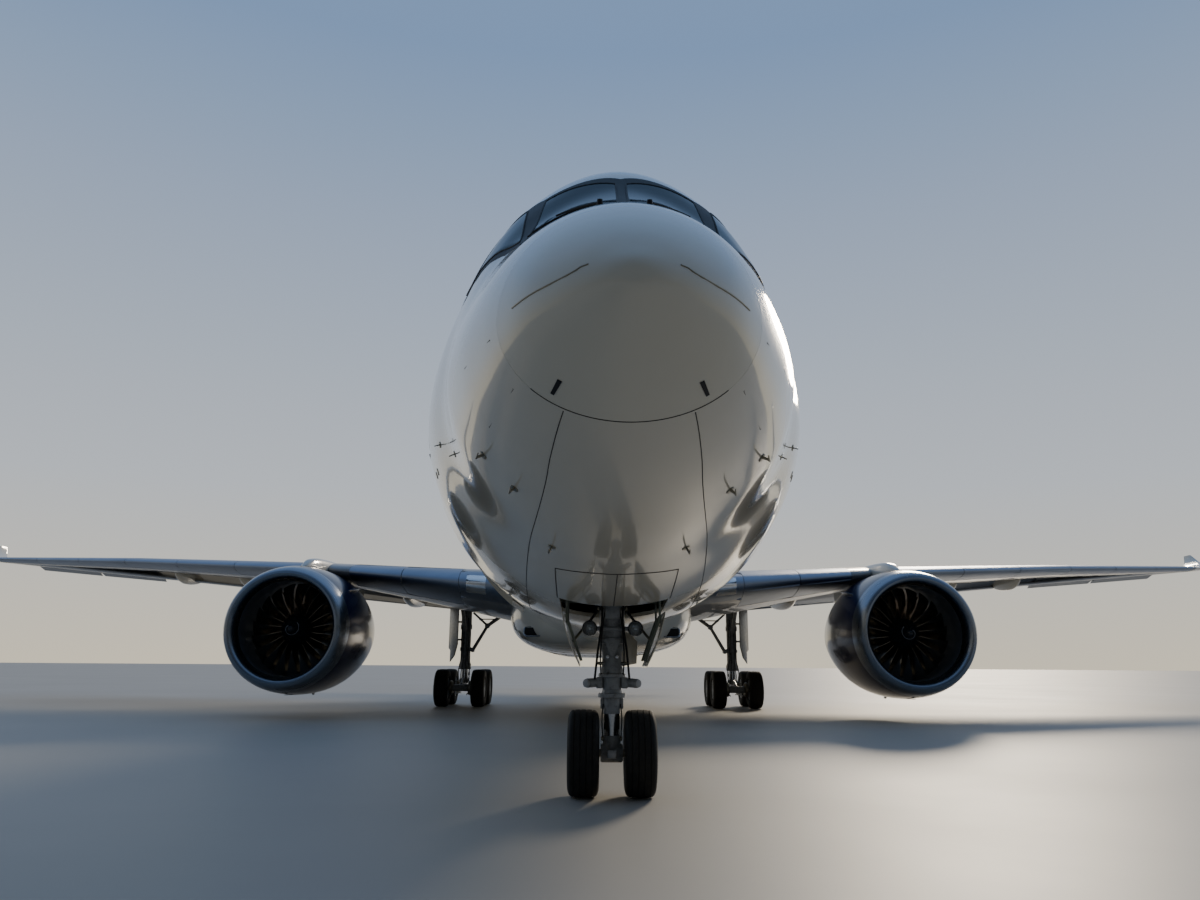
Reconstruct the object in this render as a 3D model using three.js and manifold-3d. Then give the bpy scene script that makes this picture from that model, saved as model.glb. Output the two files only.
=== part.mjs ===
// Airliner: a wide-body aircraft with two engines under the wing, built as a model at half size.
// The driving sizes are those of the real aircraft, in metres: x to its left, y aft of the nose tip,
// z above the ground. The last step turns them into model millimetres, centred on the ground.
import * as THREE from 'three';
import { mergeVertices } from 'three/addons/utils/BufferGeometryUtils.js';
import Module from 'manifold-3d';

const wasm = await Module();
wasm.setup();

// Scale and clearances
const MODEL_SCALE = 0.5;
const MM_PER_M = 1000 * MODEL_SCALE;
const LENGTH = 63.66;
const SEAM = 0.0006;          // between pieces that touch
const CLEAR = 0.014;          // between pieces that move past each other
const BIG = 3;                // half height of a cutting box

// Fuselage: a round section on a centre line that rises slightly towards the tail
const CENTRE_Z = 4.92;
const CENTRE_RISE = 0.0075;
const RADIUS = 2.82;
const RADOME_END = 0.95;
const NOSE_END = 10.0;
const CONE_START = 61.2;
const SIDES = 32;
// y aft of the nose; top, bottom, half width and height of the widest line, from the centre line; and the
// power of the upper half's curve, 2 for an ellipse and less for the narrow shoulders around the cockpit
const FUSELAGE = [
  [0.00, -0.88, -0.96, 0.04, -0.92, 2],
  [0.08, -0.71, -1.10, 0.27, -0.92, 2],
  [0.25, -0.50, -1.26, 0.49, -0.92, 2],
  [0.55, -0.23, -1.45, 0.75, -0.91, 2],
  [RADOME_END, 0.06, -1.64, 0.97, -0.88, 1.96],
  [1.50, 0.38, -1.84, 1.20, -0.82, 1.90],
  [2.00, 0.62, -1.99, 1.38, -0.77, 1.80],
  [2.50, 0.93, -2.12, 1.53, -0.72, 1.73],
  [3.00, 1.30, -2.24, 1.66, -0.67, 1.68],
  [3.50, 1.77, -2.34, 1.75, -0.60, 1.78],
  [4.00, 2.09, -2.42, 1.85, -0.53, 1.88],
  [5.00, 2.42, -2.57, 2.16, -0.44, 1.80],
  [6.00, 2.62, -2.69, 2.38, -0.34, 1.86],
  [7.20, 2.73, -2.78, 2.54, -0.22, 1.90],
  [8.60, 2.80, -2.82, 2.73, -0.10, 1.97],
  [NOSE_END, RADIUS, -RADIUS, RADIUS, 0, 2],
  [42.5, RADIUS, -RADIUS, RADIUS, 0, 2],
  [46.0, 2.82, -2.46, 2.76, 0.10, 2],
  [49.0, 2.81, -1.92, 2.58, 0.35, 2],
  [52.0, 2.76, -1.28, 2.22, 0.66, 2],
  [55.0, 2.62, -0.58, 1.74, 0.98, 2],
  [58.0, 2.38, 0.14, 1.20, 1.28, 2],
  [CONE_START, 2.04, 0.84, 0.66, 1.44, 2],
  [63.10, 1.80, 1.20, 0.34, 1.50, 2],
  [LENGTH, 1.68, 1.34, 0.20, 1.51, 2],
];

// Belly fairing: y, lowest point, half width, height of the widest line, highest point, above ground
const FAIRING = [
  [18.6, 2.20, 0.60, 2.60, 3.0],
  [20.0, 2.02, 1.90, 2.95, 3.6],
  [21.6, 1.92, 2.55, 3.20, 4.3],
  [23.5, 1.89, 2.80, 3.30, 4.7],
  [34.0, 1.89, 2.82, 3.30, 4.7],
  [36.4, 1.98, 2.62, 3.25, 4.4],
  [38.6, 2.14, 2.00, 3.10, 3.8],
  [40.6, 2.36, 0.80, 2.80, 3.2],
];
// how square the fairing's upper and lower halves are; 2 is an ellipse
const FAIRING_ROUND = [2, 3];

// Cockpit glazing: its outline from the side, y and height above the centre line
const GLAZING = [[1.80, 0.60], [2.60, 0.60], [4.60, 0.74], [4.42, 1.22], [3.75, 1.52], [3.32, 1.62],
  [1.80, 1.62]];
const GLASS_DEPTH = 0.05;
const CENTRE_POST = 0.045;

// Lifting surfaces: span position, leading edge y and z, chord, thickness ratio, incidence and lean.
// The incidence and the lean of the section are in degrees. The fin's span position is its height.
const WING = [
  [1.00, 20.13, 3.60, 13.77, 0.125, 1.5, 0],
  [2.82, 21.30, 3.80, 12.70, 0.120, 0.8, 0],
  [9.40, 25.50, 4.67, 9.10, 0.080, -1.4, 0],
  [19.2, 32.10, 5.59, 5.85, 0.082, -1.8, 0],
  [29.0, 38.70, 6.37, 2.65, 0.095, -1.1, 0],
];
const WINGTIP = [
  [29.0, 38.70, 6.37, 2.65, 0.095, -1.1, 5],
  [29.9, 39.50, 6.46, 2.38, 0.095, -0.8, 8],
  [30.7, 40.52, 6.62, 2.00, 0.090, -0.4, 18],
  [31.35, 41.66, 6.88, 1.55, 0.090, 0, 32],
  [31.75, 42.66, 7.20, 1.08, 0.090, 0, 46],
  [31.97, 43.50, 7.60, 0.55, 0.090, 0, 58],
];
const STABILISER = [
  [0.30, 53.70, 6.42, 5.55, 0.11, 0, 0],
  [1.20, 54.30, 6.52, 5.05, 0.11, 0, 0],
  [9.70, 60.10, 7.44, 1.85, 0.10, 0, 0],
];
const FIN = [
  [7.50, 49.80, 8.90, 0.12],
  [8.40, 51.00, 8.10, 0.12],
  [16.6, 58.90, 3.02, 0.11],
  [16.79, 59.35, 2.45, 0.07],
];
const FOIL_STEPS = 8;

// Moving and fixed parts of the wing: the span positions of their ends, the part of the chord
// where they start at each end, and how far they reach behind that line
const AILERONS = { inner: [20.35, 24.05], outer: [24.13, 27.85], start: 0.74, droop: 25 };
const FLAPS = { inner: [3.30, 9.25], outer: [9.50, 20.15] };
const FLAP_START = { innerRoot: 0.865, innerKink: 0.80, outerKink: 0.79, outerTip: 0.745 };
const SLATS = { inner: [4.30, 8.30], outer: [10.35, 28.80], depth: 0.13 };
// the fairings over the flap tracks: span position and size, then the canoe's part of the chord
// and fullness
const FLAP_FAIRINGS = [[7.35, 0.30], [11.4, 0.28], [14.9, 0.30], [18.4, 0.32]];
const CANOE = [[0.46, 0.05], [0.54, 0.62], [0.66, 1], [0.84, 1], [0.96, 0.72], [1.06, 0.06]];
const CANOE_SHAPE = { sink: 0.6, drop: 0.5, half: 0.8, high: 1.3, sides: 12 };

// Tail surfaces
const RUDDER = { bottom: 8.95, top: 16.35, start: 0.70 };
const ELEVATOR = { inner: 1.75, outer: 9.45, start: 0.70, droop: 15 };

// Engines: the nacelle's outline as y behind the lip and radius, outside then inside
const ENGINE_X = 9.37;
const ENGINE_Z = 2.60;
const LIP_Y = 21.85;
const NACELLE_OUTSIDE = [[0, 1.60], [0.05, 1.685], [0.20, 1.765], [0.55, 1.85], [1.2, 1.925], [2.2, 1.96],
  [3.3, 1.90], [4.4, 1.70], [5.5, 1.44]];
const NACELLE_INSIDE = [[5.5, 1.41], [4.3, 1.58], [3.2, 1.60], [2.2, 1.455], [1.25, 1.455], [0.8, 1.41],
  [0.4, 1.40], [0.15, 1.46], [0.03, 1.54]];
const CORE = [[2.28, 0], [2.28, 0.62], [2.9, 0.92], [4.2, 1.02], [5.6, 0.90], [6.5, 0.66], [6.5, 0.42],
  [7.7, 0.04], [7.7, 0]];
const NACELLE_SIDES = 28;
const FAN = { front: 1.35, back: 1.95, radius: 1.425, hub: 0.46, tip: 0.72, blades: 20, thick: 0.018 };
// the spinner as y behind its tip and radius, and a blade as radius, twist in degrees, chord and sweep
const SPINNER = [[0, 0], [0.05, 0.10], [0.25, 0.25]];
const BLADE = [[0.43, 20, 0.46, 0], [0.95, 44, 0.52, -0.03], [FAN.radius, 62, 0.54, 0.03]];
// The pylon from the side: y and z above ground
const PYLON = [[23.35, 4.50], [24.1, 4.86], [25.0, 4.98], [26.6, 5.02], [31.2, 4.50], [31.2, 4.05],
  [28.9, 3.62], [27.6, 3.30], [24.75, 3.30], [24.75, 4.50]];
const PYLON_WIDTH = 0.50;

// Nose gear
const NOSE_GEAR_Y = 6.67;
const NOSE_TYRE = { radius: 0.525, width: 0.395, track: 0.71 };
// The bay is open below from its mouth back; ahead of that its front doors are closed under the strut
const NOSE_BAY = { front: 4.75, mouth: 5.82, back: 6.97, half: 0.66, floor: 2.62, top: 3.45 };
const NOSE_LEG = { bottom: 1.30, top: 3.30, radius: 0.17, footRadius: 0.18, footHeight: 0.20 };
const NOSE_TRUNNION = { half: 0.60, z: 3.18, radius: 0.09 };
const STEERING = { half: 0.37, z: 1.375, radius: 0.06 };
const LAMP = { x: 0.29, z: 2.05, radius: 0.088, front: 0.30, back: 0.10 };
const LAMP_BAR = { low: 2.02, high: 2.08, front: 0.20 };
const LAMP_HEAD = { half: 0.10, front: 0.30, low: 2.16, high: 2.36 };
const NOSE_AXLE = 0.05;
const AXLE_PLAY = 0.006;
const NOSE_PISTON = 0.105;
const NOSE_COLLAR = { low: 1.10, high: 1.235, radius: 0.18, sides: 24 };
const NOSE_HUB = { half: 0.14, radius: 0.115 };
const NOSE_LINK = { back: 0.42, z: 0.86, top: 1.16, low: 0.575, radius: 0.05, pin: 0.06, half: 0.07 };
const DRAG_STRUT = { low: [0.05, 0.36, 2.42], high: [0.45, 4.95, 3.25], radius: 0.055, pin: 0.07,
  pinHalf: 0.12 };
const DRAG_TIE = { half: 0.33, y: 5.35, z: 3.02, radius: 0.04 };
const NOSE_DOOR = { front: 5.86, back: 6.92, topX: 0.63, topZ: 2.24, lowX: 0.40, lowZ: 1.60, thick: 0.035,
  belly: 0.03 };
const NOSE_DOOR_ARM = { front: 0.12, back: 0.20, out: 0.02, width: 0.06, low: 2.12, high: 2.52 };

// Main gear
const MAIN_GEAR_X = 5.34;
const MAIN_GEAR_Y = 32.04;
const MAIN_TYRE = { radius: 0.70, width: 0.53, track: 1.40 };
const AXLE_REACH = 0.99;
const MAIN_AXLE = 0.07;
const MAIN_LEG = { bottom: 1.40, top: 4.00, radius: 0.20, footRadius: 0.24, footHeight: 0.25,
  piston: 0.155 };
const MAIN_LINK = { back: 0.62, z: 1.22, top: 1.52, low: 0.95, radius: 0.06 };
const DRAG_ARM = { low: 2.75, out: 0.10, back: 0.95, high: 3.95, radius: 0.075 };
// the door on the leg stands at an angle: its upright edges as distance outboard of the leg and distance
// behind it, how far out its stays reach, and their heights
const LEG_DOOR = { front: [0.24, -0.50], back: [0.72, 0.42], thick: 0.04, out: 0.50, stays: [2.55, 3.25],
  stayRadius: 0.04 };
// its outline as the part of the way from the front edge to the back edge, and z
const LEG_DOOR_OUTLINE = [[0, 3.84], [1, 3.84], [1, 2.22], [0.80, 2.14], [0.80, 1.68], [0.30, 1.92],
  [0, 2.35]];
// the side stay's joints, as distance inboard of the leg, distance ahead of it and z
const STAY = { low: [0.29, 0.05, 2.14], knee: [0.86, 0.12, 3.10], high: [1.90, 0.20, 3.84],
  lock: [0.27, 0.05, 3.62] };
const STAY_RADIUS = { low: 0.07, high: 0.08, pin: 0.10, lock: 0.045, pinHalf: 0.12, footHalf: 0.15 };
const BOGIE = { half: 0.15, low: 0.55, high: 0.86, end: 0.16, hubHalf: 0.40, hub: 0.13, pinHalf: 0.24,
  pin: 0.11, saddle: 0.20, saddleHeight: 0.20 };
const WHEEL_SIDES = 20;
// a wheel's half outline from the tread to the hub: part of the radius and of the half width
const WHEEL = [[1, 0.62], [0.72, 1], [0.50, 0.80], [0.40, 0.35], [0, 0.55]];
const TUBE_SIDES = 10;

// Cargo doors on the right side: the y of their ends, heights from the centre line, and thickness
const CARGO_DOORS = { front: [11.6, 14.3], back: [43.2, 45.9] };
const CARGO_LOW = -2.25;
const CARGO_HIGH = -0.55;
const CARGO_DEPTH = 0.14;
const CARGO_INSIDE = -0.9;    // the doors lie outside this x

// Flat pads for jacks, x, y, top and bottom, and the towing fitting on the nose gear
const PAD_RADIUS = 0.12;
const WING_PAD = [7.20, 30.0, 4.12, 3.94];
const NOSE_PAD = [0, 9.20, 2.40, 2.13];
const TOW_FITTING = { half: 0.07, low: 0.46, high: 0.60, reach: 0.26 };

const COLOURS = { cream: 0xe9e4d6, navy: 0x1b2a5e, grey: 0x9aa0a6, steel: 0xb4b7ba, rubber: 0x17181a,
  glass: 0x16262c, blade: 0x50565c };

// Basic tools

function toSolid(geometry) {
  const bare = geometry.clone();
  bare.deleteAttribute('normal');
  bare.deleteAttribute('uv');
  const merged = mergeVertices(bare, 1e-6);
  return new wasm.Manifold(new wasm.Mesh({
    numProp: 3,
    vertProperties: new Float32Array(merged.attributes.position.array),
    triVerts: new Uint32Array(merged.index.array),
  }));
}

function toGeometry(solid) {
  const mesh = solid.getMesh();
  const geometry = new THREE.BufferGeometry();
  geometry.setAttribute('position', new THREE.BufferAttribute(mesh.vertProperties, 3));
  geometry.setIndex(new THREE.BufferAttribute(mesh.triVerts, 1));
  return geometry;
}

function moved(solid, x, y, z) {
  const geometry = toGeometry(solid);
  geometry.translate(x, y, z);
  return toSolid(geometry);
}

const join = (solids) => solids.reduce((whole, solid) => whole.add(solid));
const cut = (solid, cutters) => cutters.reduce((left, cutter) => left.subtract(cutter), solid);

// A solid made larger all round by joining copies moved a little along each axis
function around(solid, gap) {
  if (gap === 0) return solid;
  const steps = [[gap, 0, 0], [-gap, 0, 0], [0, gap, 0], [0, -gap, 0], [0, 0, gap], [0, 0, -gap]];
  return join(steps.map((step) => moved(solid, ...step)));
}

// Rings of equally many points joined into one closed body, each end closed by a fan
function loft(rings) {
  const count = rings[0].length;
  const points = rings.flat();
  const index = [];
  for (let ring = 0; ring < rings.length - 1; ring++) {
    for (let i = 0; i < count; i++) {
      const a = ring * count + i;
      const b = ring * count + (i + 1) % count;
      // the diagonals mirror each other, so both halves of a symmetric body have the same facets
      if (i < count / 2) index.push(a, b, b + count, a, b + count, a + count);
      else index.push(a, b, a + count, b, b + count, a + count);
    }
  }
  const middle = (ring) => ring.reduce((sum, p) => sum.add(p), new THREE.Vector3()).divideScalar(count);
  const last = (rings.length - 1) * count;
  points.push(middle(rings[0]), middle(rings[rings.length - 1]));
  for (let i = 0; i < count; i++) {
    const next = (i + 1) % count;
    index.push(points.length - 2, next, i);
    index.push(points.length - 1, last + i, last + next);
  }
  let volume = 0;
  for (let t = 0; t < index.length; t += 3) {
    const [a, b, c] = [0, 1, 2].map((k) => points[index[t + k]]);
    volume += a.dot(new THREE.Vector3().crossVectors(b, c));
  }
  if (volume < 0) index.reverse();
  const geometry = new THREE.BufferGeometry();
  const numbers = points.flatMap((p) => p.toArray());
  geometry.setAttribute('position', new THREE.Float32BufferAttribute(numbers, 3));
  geometry.setIndex(index);
  return toSolid(geometry);
}

// A tube or tapered rod between two points
function rod(from, to, radius, endRadius = radius, sides = TUBE_SIDES) {
  const a = new THREE.Vector3(...from);
  const b = new THREE.Vector3(...to);
  const along = b.clone().sub(a);
  const geometry = new THREE.CylinderGeometry(endRadius, radius, along.length(), sides);
  const turn = new THREE.Quaternion().setFromUnitVectors(new THREE.Vector3(0, 1, 0), along.normalize());
  geometry.applyQuaternion(turn);
  const centre = a.add(b).divideScalar(2);
  geometry.translate(centre.x, centre.y, centre.z);
  return toSolid(geometry);
}

// A box between two opposite corners
function block(low, high) {
  const size = low.map((v, i) => high[i] - v);
  const geometry = new THREE.BoxGeometry(...size);
  geometry.translate(...low.map((v, i) => v + size[i] / 2));
  return toSolid(geometry);
}

// An outline of y and z, extruded across x
function sidePlate(outline, x0, x1) {
  const shape = new THREE.Shape(outline.map(([y, z]) => new THREE.Vector2(y, z)));
  const geometry = new THREE.ExtrudeGeometry(shape, { depth: x1 - x0, bevelEnabled: false });
  // the shape's own x and y become y and z, and its depth becomes x
  geometry.applyMatrix4(new THREE.Matrix4().makeBasis(
    new THREE.Vector3(0, 1, 0), new THREE.Vector3(0, 0, 1), new THREE.Vector3(1, 0, 0)));
  geometry.translate(x0, 0, 0);
  return toSolid(geometry);
}

// An upright plate between two upright edges, each an x and a y, with its outline given as the part of the
// way from the first edge to the second, and z
function standingPlate(outline, [x0, y0], [x1, y1], thick) {
  const length = Math.hypot(x1 - x0, y1 - y0);
  const turn = THREE.MathUtils.radToDeg(Math.atan2(x1 - x0, y1 - y0));
  const plate = sidePlate(outline.map(([part, z]) => [part * length, z]), 0, thick);
  return plate.rotate([0, 0, -turn]).translate([x0, y0, 0]);
}

// An outline of x and z, extruded along y
function frontPlate(outline, y0, y1) {
  const shape = new THREE.Shape(outline.map(([x, z]) => new THREE.Vector2(x, z)));
  const geometry = new THREE.ExtrudeGeometry(shape, { depth: y1 - y0, bevelEnabled: false });
  geometry.applyMatrix4(new THREE.Matrix4().makeBasis(
    new THREE.Vector3(1, 0, 0), new THREE.Vector3(0, 0, 1), new THREE.Vector3(0, -1, 0)));
  geometry.translate(0, y1, 0);
  return toSolid(geometry);
}

// An outline of y and radius turned about a line along y
function turned(outline, x, y, z, sides) {
  const points = outline.map(([along, radius]) => new THREE.Vector2(radius, along));
  const closed = outline[0][1] === 0 ? points : [...points, points[0].clone()];
  const geometry = new THREE.LatheGeometry(closed, sides);
  geometry.translate(x, y, z);
  const solid = toSolid(geometry);
  return solid.volume() < 0 ? toSolid(flipped(geometry)) : solid;
}

function flipped(geometry) {
  const copy = geometry.clone();
  copy.setIndex(Array.from(copy.index.array).reverse());
  return copy;
}

const mirrored = (solid) => {
  const geometry = toGeometry(solid);
  geometry.scale(-1, 1, 1);
  return toSolid(flipped(geometry));
};

// A left piece, or its mirror image for the right
const onSide = (side, solid) => (side === 'left' ? solid : mirrored(solid));

// Pieces at their place, with colour, roughness and metalness

const group = new THREE.Group();

function addPiece(name, solid, colour, roughness, metalness) {
  const geometry = toGeometry(solid);
  geometry.translate(0, -LENGTH / 2, 0);
  geometry.scale(MM_PER_M, MM_PER_M, MM_PER_M);
  const material = new THREE.MeshStandardMaterial({ color: COLOURS[colour], roughness, metalness });
  const mesh = new THREE.Mesh(geometry, material);
  mesh.name = name;
  group.add(mesh);
}

// Fuselage

const centreAt = (y) => CENTRE_Z + CENTRE_RISE * y;

function ovalRing(y, top, bottom, half, wide, powers, grow) {
  const ring = [];
  for (let i = 0; i < SIDES; i++) {
    const angle = 2 * Math.PI * i / SIDES;
    const upper = Math.cos(angle) > 0;
    const bend = (value) => Math.sign(value) * Math.abs(value) ** (2 / powers[upper ? 0 : 1]);
    const reach = upper ? top - wide : wide - bottom;
    ring.push(new THREE.Vector3((half + grow) * bend(Math.sin(angle)), y,
      wide + (reach + grow) * bend(Math.cos(angle))));
  }
  return ring;
}

function fuselagePart(from, to, grow = 0) {
  const rows = FUSELAGE.filter(([y]) => y >= from && y <= to);
  return loft(rows.map(([y, top, bottom, half, wide, power], i) => {
    const c = centreAt(y);
    const shift = (i === 0 && y > 0) ? SEAM : 0;
    return ovalRing(y + shift, c + top, c + bottom, half, c + wide, [power, 2], grow);
  }));
}

const noseSkin = fuselagePart(RADOME_END, NOSE_END);
const fuselageSkin = fuselagePart(NOSE_END, CONE_START);
const fuselageCutter = fuselagePart(0, LENGTH, SEAM);
const coneCutter = fuselagePart(55, LENGTH, CLEAR);      // the tail end that the rudder swings past

function fairingPart(grow = 0) {
  return loft(FAIRING.map(([y, low, half, wide, high]) =>
    ovalRing(y, high, low, half, wide, FAIRING_ROUND, grow)));
}

const fairingCutter = fairingPart(SEAM);

// The glazing of the left side takes what lies outside the hull's inner line; its room is a little larger
function glazingRoom(margin) {
  const outline = GLAZING.map(([y, z]) => [y, z + centreAt(3)]);
  const side = sidePlate(outline, CENTRE_POST, RADIUS + 1);
  return around(side, margin).subtract(fuselagePart(0, NOSE_END, -GLASS_DEPTH - margin));
}

function cargoRoom([front, back], margin) {
  const c = centreAt((front + back) / 2);
  const region = block([-RADIUS - 1, front - margin, c + CARGO_LOW - margin],
    [CARGO_INSIDE, back + margin, c + CARGO_HIGH + margin]);
  return region.subtract(fuselagePart(NOSE_END, CONE_START, -CARGO_DEPTH - margin));
}

// Lifting surfaces

// Half thickness at a part of the chord, for a section of thickness ratio 1 and chord 1
function halfThickness(part) {
  const root = 0.2969 * Math.sqrt(part) - 0.126 * part;
  return 5 * (root - 0.3516 * part ** 2 + 0.2843 * part ** 3 - 0.1036 * part ** 4);
}

function foilRing(lead, chord, ratio, incidence, thickDirection, grow) {
  const drop = THREE.MathUtils.degToRad(incidence);
  const at = (part, side) => {
    const point = lead.clone();
    point.y += part * chord * Math.cos(drop);
    point.z -= part * chord * Math.sin(drop);
    const edge = part === 0 ? -grow : (part === 1 ? grow : 0);
    point.y += edge;
    const half = (part === 0 || part === 1) ? 0 : halfThickness(part) * ratio * chord + grow;
    return point.addScaledVector(thickDirection, side * half);
  };
  const parts = [];
  for (let i = 0; i <= FOIL_STEPS; i++) parts.push((1 - Math.cos(Math.PI * i / FOIL_STEPS)) / 2);
  parts[FOIL_STEPS] = 1;
  const upper = parts.map((part) => at(part, 1));
  const lower = parts.slice(1, -1).reverse().map((part) => at(part, -1));
  return [...upper, ...lower];
}

function surface(rows, grow = 0) {
  return loft(rows.map(([x, y, z, chord, ratio, incidence, lean]) => {
    const angle = THREE.MathUtils.degToRad(lean);
    const thick = new THREE.Vector3(-Math.sin(angle), 0, Math.cos(angle));
    return foilRing(new THREE.Vector3(x, y, z), chord, ratio, incidence, thick, grow);
  }));
}

function finSurface(grow = 0) {
  const thick = new THREE.Vector3(-1, 0, 0);
  return loft(FIN.map(([z, y, chord, ratio]) =>
    foilRing(new THREE.Vector3(0, y, z), chord, ratio, 0, thick, grow)));
}

// The middle of the section at a span position and part of the chord, with its half thickness
function foilPoint(rows, x, part) {
  const next = rows.findIndex((row, i) => i > 0 && row[0] >= x);
  const [a, b] = [rows[next - 1], rows[next]];
  const t = (x - a[0]) / (b[0] - a[0]);
  const [, y, z, chord, ratio, incidence] = a.map((v, i) => v + t * (b[i] - v));
  const drop = THREE.MathUtils.degToRad(incidence);
  return {
    point: new THREE.Vector3(x, y + part * chord, z - part * chord * Math.sin(drop)),
    half: halfThickness(part) * ratio * chord,
    rest: (1 - part) * chord,
  };
}

function finPoint(z, part) {
  const next = FIN.findIndex((row, i) => i > 0 && row[0] >= z);
  const [a, b] = [FIN[next - 1], FIN[next]];
  const t = (z - a[0]) / (b[0] - a[0]);
  const [, y, chord, ratio] = a.map((v, i) => v + t * (b[i] - v));
  return { point: new THREE.Vector3(0, y + part * chord, z), half: halfThickness(part) * ratio * chord };
}

// A box along the line between two points, from ahead of the line to behind it
function lineBox(start, end, ahead, behind, margin, up) {
  const along = end.clone().sub(start).normalize();
  const back = new THREE.Vector3().crossVectors(up, along).normalize();
  if (back.y < 0) back.negate();
  const normal = new THREE.Vector3().crossVectors(along, back);
  const length = start.distanceTo(end) + 2 * margin;
  const geometry = new THREE.BoxGeometry(length, ahead + behind, 2 * BIG);
  geometry.applyMatrix4(new THREE.Matrix4().makeBasis(along, back, normal));
  const centre = start.clone().add(end).divideScalar(2).addScaledVector(back, (behind - ahead) / 2);
  geometry.translate(centre.x, centre.y, centre.z);
  const solid = toSolid(geometry);
  return solid.volume() < 0 ? toSolid(flipped(geometry)) : solid;
}

const UP = new THREE.Vector3(0, 0, 1);
const ACROSS = new THREE.Vector3(1, 0, 0);
const NOSE_FIT = 0.96;        // the rounded front edge against the skin's half thickness

// A surface hinged on the line between two points: the piece itself and what it needs cut away
function hinged(whole, start, end, reach, up) {
  const radius = Math.max(start.half, end.half) * NOSE_FIT;
  const front = rod(start.point.toArray(), end.point.toArray(), start.half * NOSE_FIT, end.half * NOSE_FIT);
  const flat = lineBox(start.point, end.point, 0, reach, 0, up);
  return {
    piece: whole.intersect(flat).add(front),
    room: lineBox(start.point, end.point, radius + CLEAR, reach + 1, CLEAR, up),
  };
}

function turnAbout(solid, start, end, degrees) {
  const along = end.clone().sub(start).normalize();
  const geometry = toGeometry(solid);
  geometry.translate(-start.x, -start.y, -start.z);
  geometry.applyMatrix4(new THREE.Matrix4().makeRotationAxis(along, THREE.MathUtils.degToRad(degrees)));
  geometry.translate(start.x, start.y, start.z);
  return toSolid(geometry);
}

const REACH = 6;              // longer than any surface behind its hinge line

function wingParts() {
  const whole = surface(WING);
  const grown = surface(WING, SEAM);
  const fixed = {};
  const lines = {
    inner_flap: [foilPoint(WING, FLAPS.inner[0], FLAP_START.innerRoot),
      foilPoint(WING, FLAPS.inner[1], FLAP_START.innerKink), 0, REACH],
    outer_flap: [foilPoint(WING, FLAPS.outer[0], FLAP_START.outerKink),
      foilPoint(WING, FLAPS.outer[1], FLAP_START.outerTip), 0, REACH],
    inner_slat: [foilPoint(WING, SLATS.inner[0], SLATS.depth),
      foilPoint(WING, SLATS.inner[1], SLATS.depth), REACH, 0],
    outer_slat: [foilPoint(WING, SLATS.outer[0], SLATS.depth),
      foilPoint(WING, SLATS.outer[1], SLATS.depth), REACH, 0],
  };
  const rooms = [];
  const flapZones = [];
  for (const [name, [start, end, ahead, behind]] of Object.entries(lines)) {
    const [inner, outer] = [start.point.x, end.point.x];
    const slab = (margin) => block([inner - margin, 0, -BIG], [outer + margin, LENGTH, 3 * BIG]);
    const line = lineBox(start.point, end.point, ahead, behind, REACH, UP);
    fixed[name] = whole.intersect(slab(0)).intersect(line);
    const room = around(line, SEAM).intersect(slab(SEAM));
    rooms.push(room);
    if (name.endsWith('flap')) flapZones.push(room);
  }
  const ailerons = {};
  for (const name of ['inner', 'outer']) {
    const [start, end] = AILERONS[name].map((x) => foilPoint(WING, x, AILERONS.start));
    const { piece, room } = hinged(whole, start, end, REACH, UP);
    ailerons[name] = turnAbout(piece, start.point, end.point, -AILERONS.droop);
    rooms.push(room);
    fixed.outer_flap = fixed.outer_flap.subtract(room);
  }
  const flapSpace = join(flapZones).intersect(grown);
  const fairings = FLAP_FAIRINGS.map(([x, size]) => cut(flapFairing(x, size), [flapSpace]));
  const pad = jackPad(WING_PAD);
  const panel = join([cut(whole, [...rooms, fuselageCutter, fairingCutter]), ...fairings, pad]);
  return { panel, fixed, ailerons, grown };
}

// A canoe-shaped fairing over a flap track, under the wing at a span position
function flapFairing(x, size) {
  return loft(CANOE.map(([part, fullness]) => {
    const { point, half } = foilPoint(WING, x, Math.min(part, 1));
    const y = point.y + Math.max(part - 1, 0) * REACH;
    const middle = point.z - half * CANOE_SHAPE.sink - size * CANOE_SHAPE.drop * fullness;
    const ring = [];
    for (let i = 0; i < CANOE_SHAPE.sides; i++) {
      const angle = 2 * Math.PI * i / CANOE_SHAPE.sides;
      ring.push(new THREE.Vector3(x + size * CANOE_SHAPE.half * fullness * Math.sin(angle), y,
        middle + size * CANOE_SHAPE.high * fullness * Math.cos(angle)));
    }
    return ring;
  }));
}

// Engines, modelled on the left side

function fanRotor() {
  const y = LIP_Y;
  const cone = SPINNER.map(([along, radius]) => [FAN.tip + along, radius]);
  const hub = [[FAN.front, FAN.hub], [FAN.back, FAN.hub], [FAN.back, 0]];
  const spinner = turned([...cone, ...hub], ENGINE_X, y, ENGINE_Z, FAN.blades);
  const blade = loft(BLADE.map(([radius, twist, chord, sweep]) => {
    const angle = THREE.MathUtils.degToRad(twist);
    const along = new THREE.Vector3(Math.sin(angle), Math.cos(angle), 0);
    const across = new THREE.Vector3(Math.cos(angle), -Math.sin(angle), 0);
    const middle = new THREE.Vector3(0, (FAN.front + FAN.back) / 2 + sweep, radius);
    return [[-0.5, 0], [0, FAN.thick], [0.5, 0], [0, -FAN.thick]].map(([part, side]) =>
      middle.clone().addScaledVector(along, part * chord).addScaledVector(across, side));
  }));
  const blades = [];
  for (let i = 0; i < FAN.blades; i++) {
    const geometry = toGeometry(blade);
    geometry.rotateY(2 * Math.PI * i / FAN.blades);
    geometry.translate(ENGINE_X, y, ENGINE_Z);
    blades.push(toSolid(geometry));
  }
  return join([spinner, ...blades]);
}

const pylonWhole = sidePlate(PYLON, ENGINE_X - PYLON_WIDTH / 2, ENGINE_X + PYLON_WIDTH / 2);

// Wheels: tyre, rim and hub in one outline, from the inner side to the outer side

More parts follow.
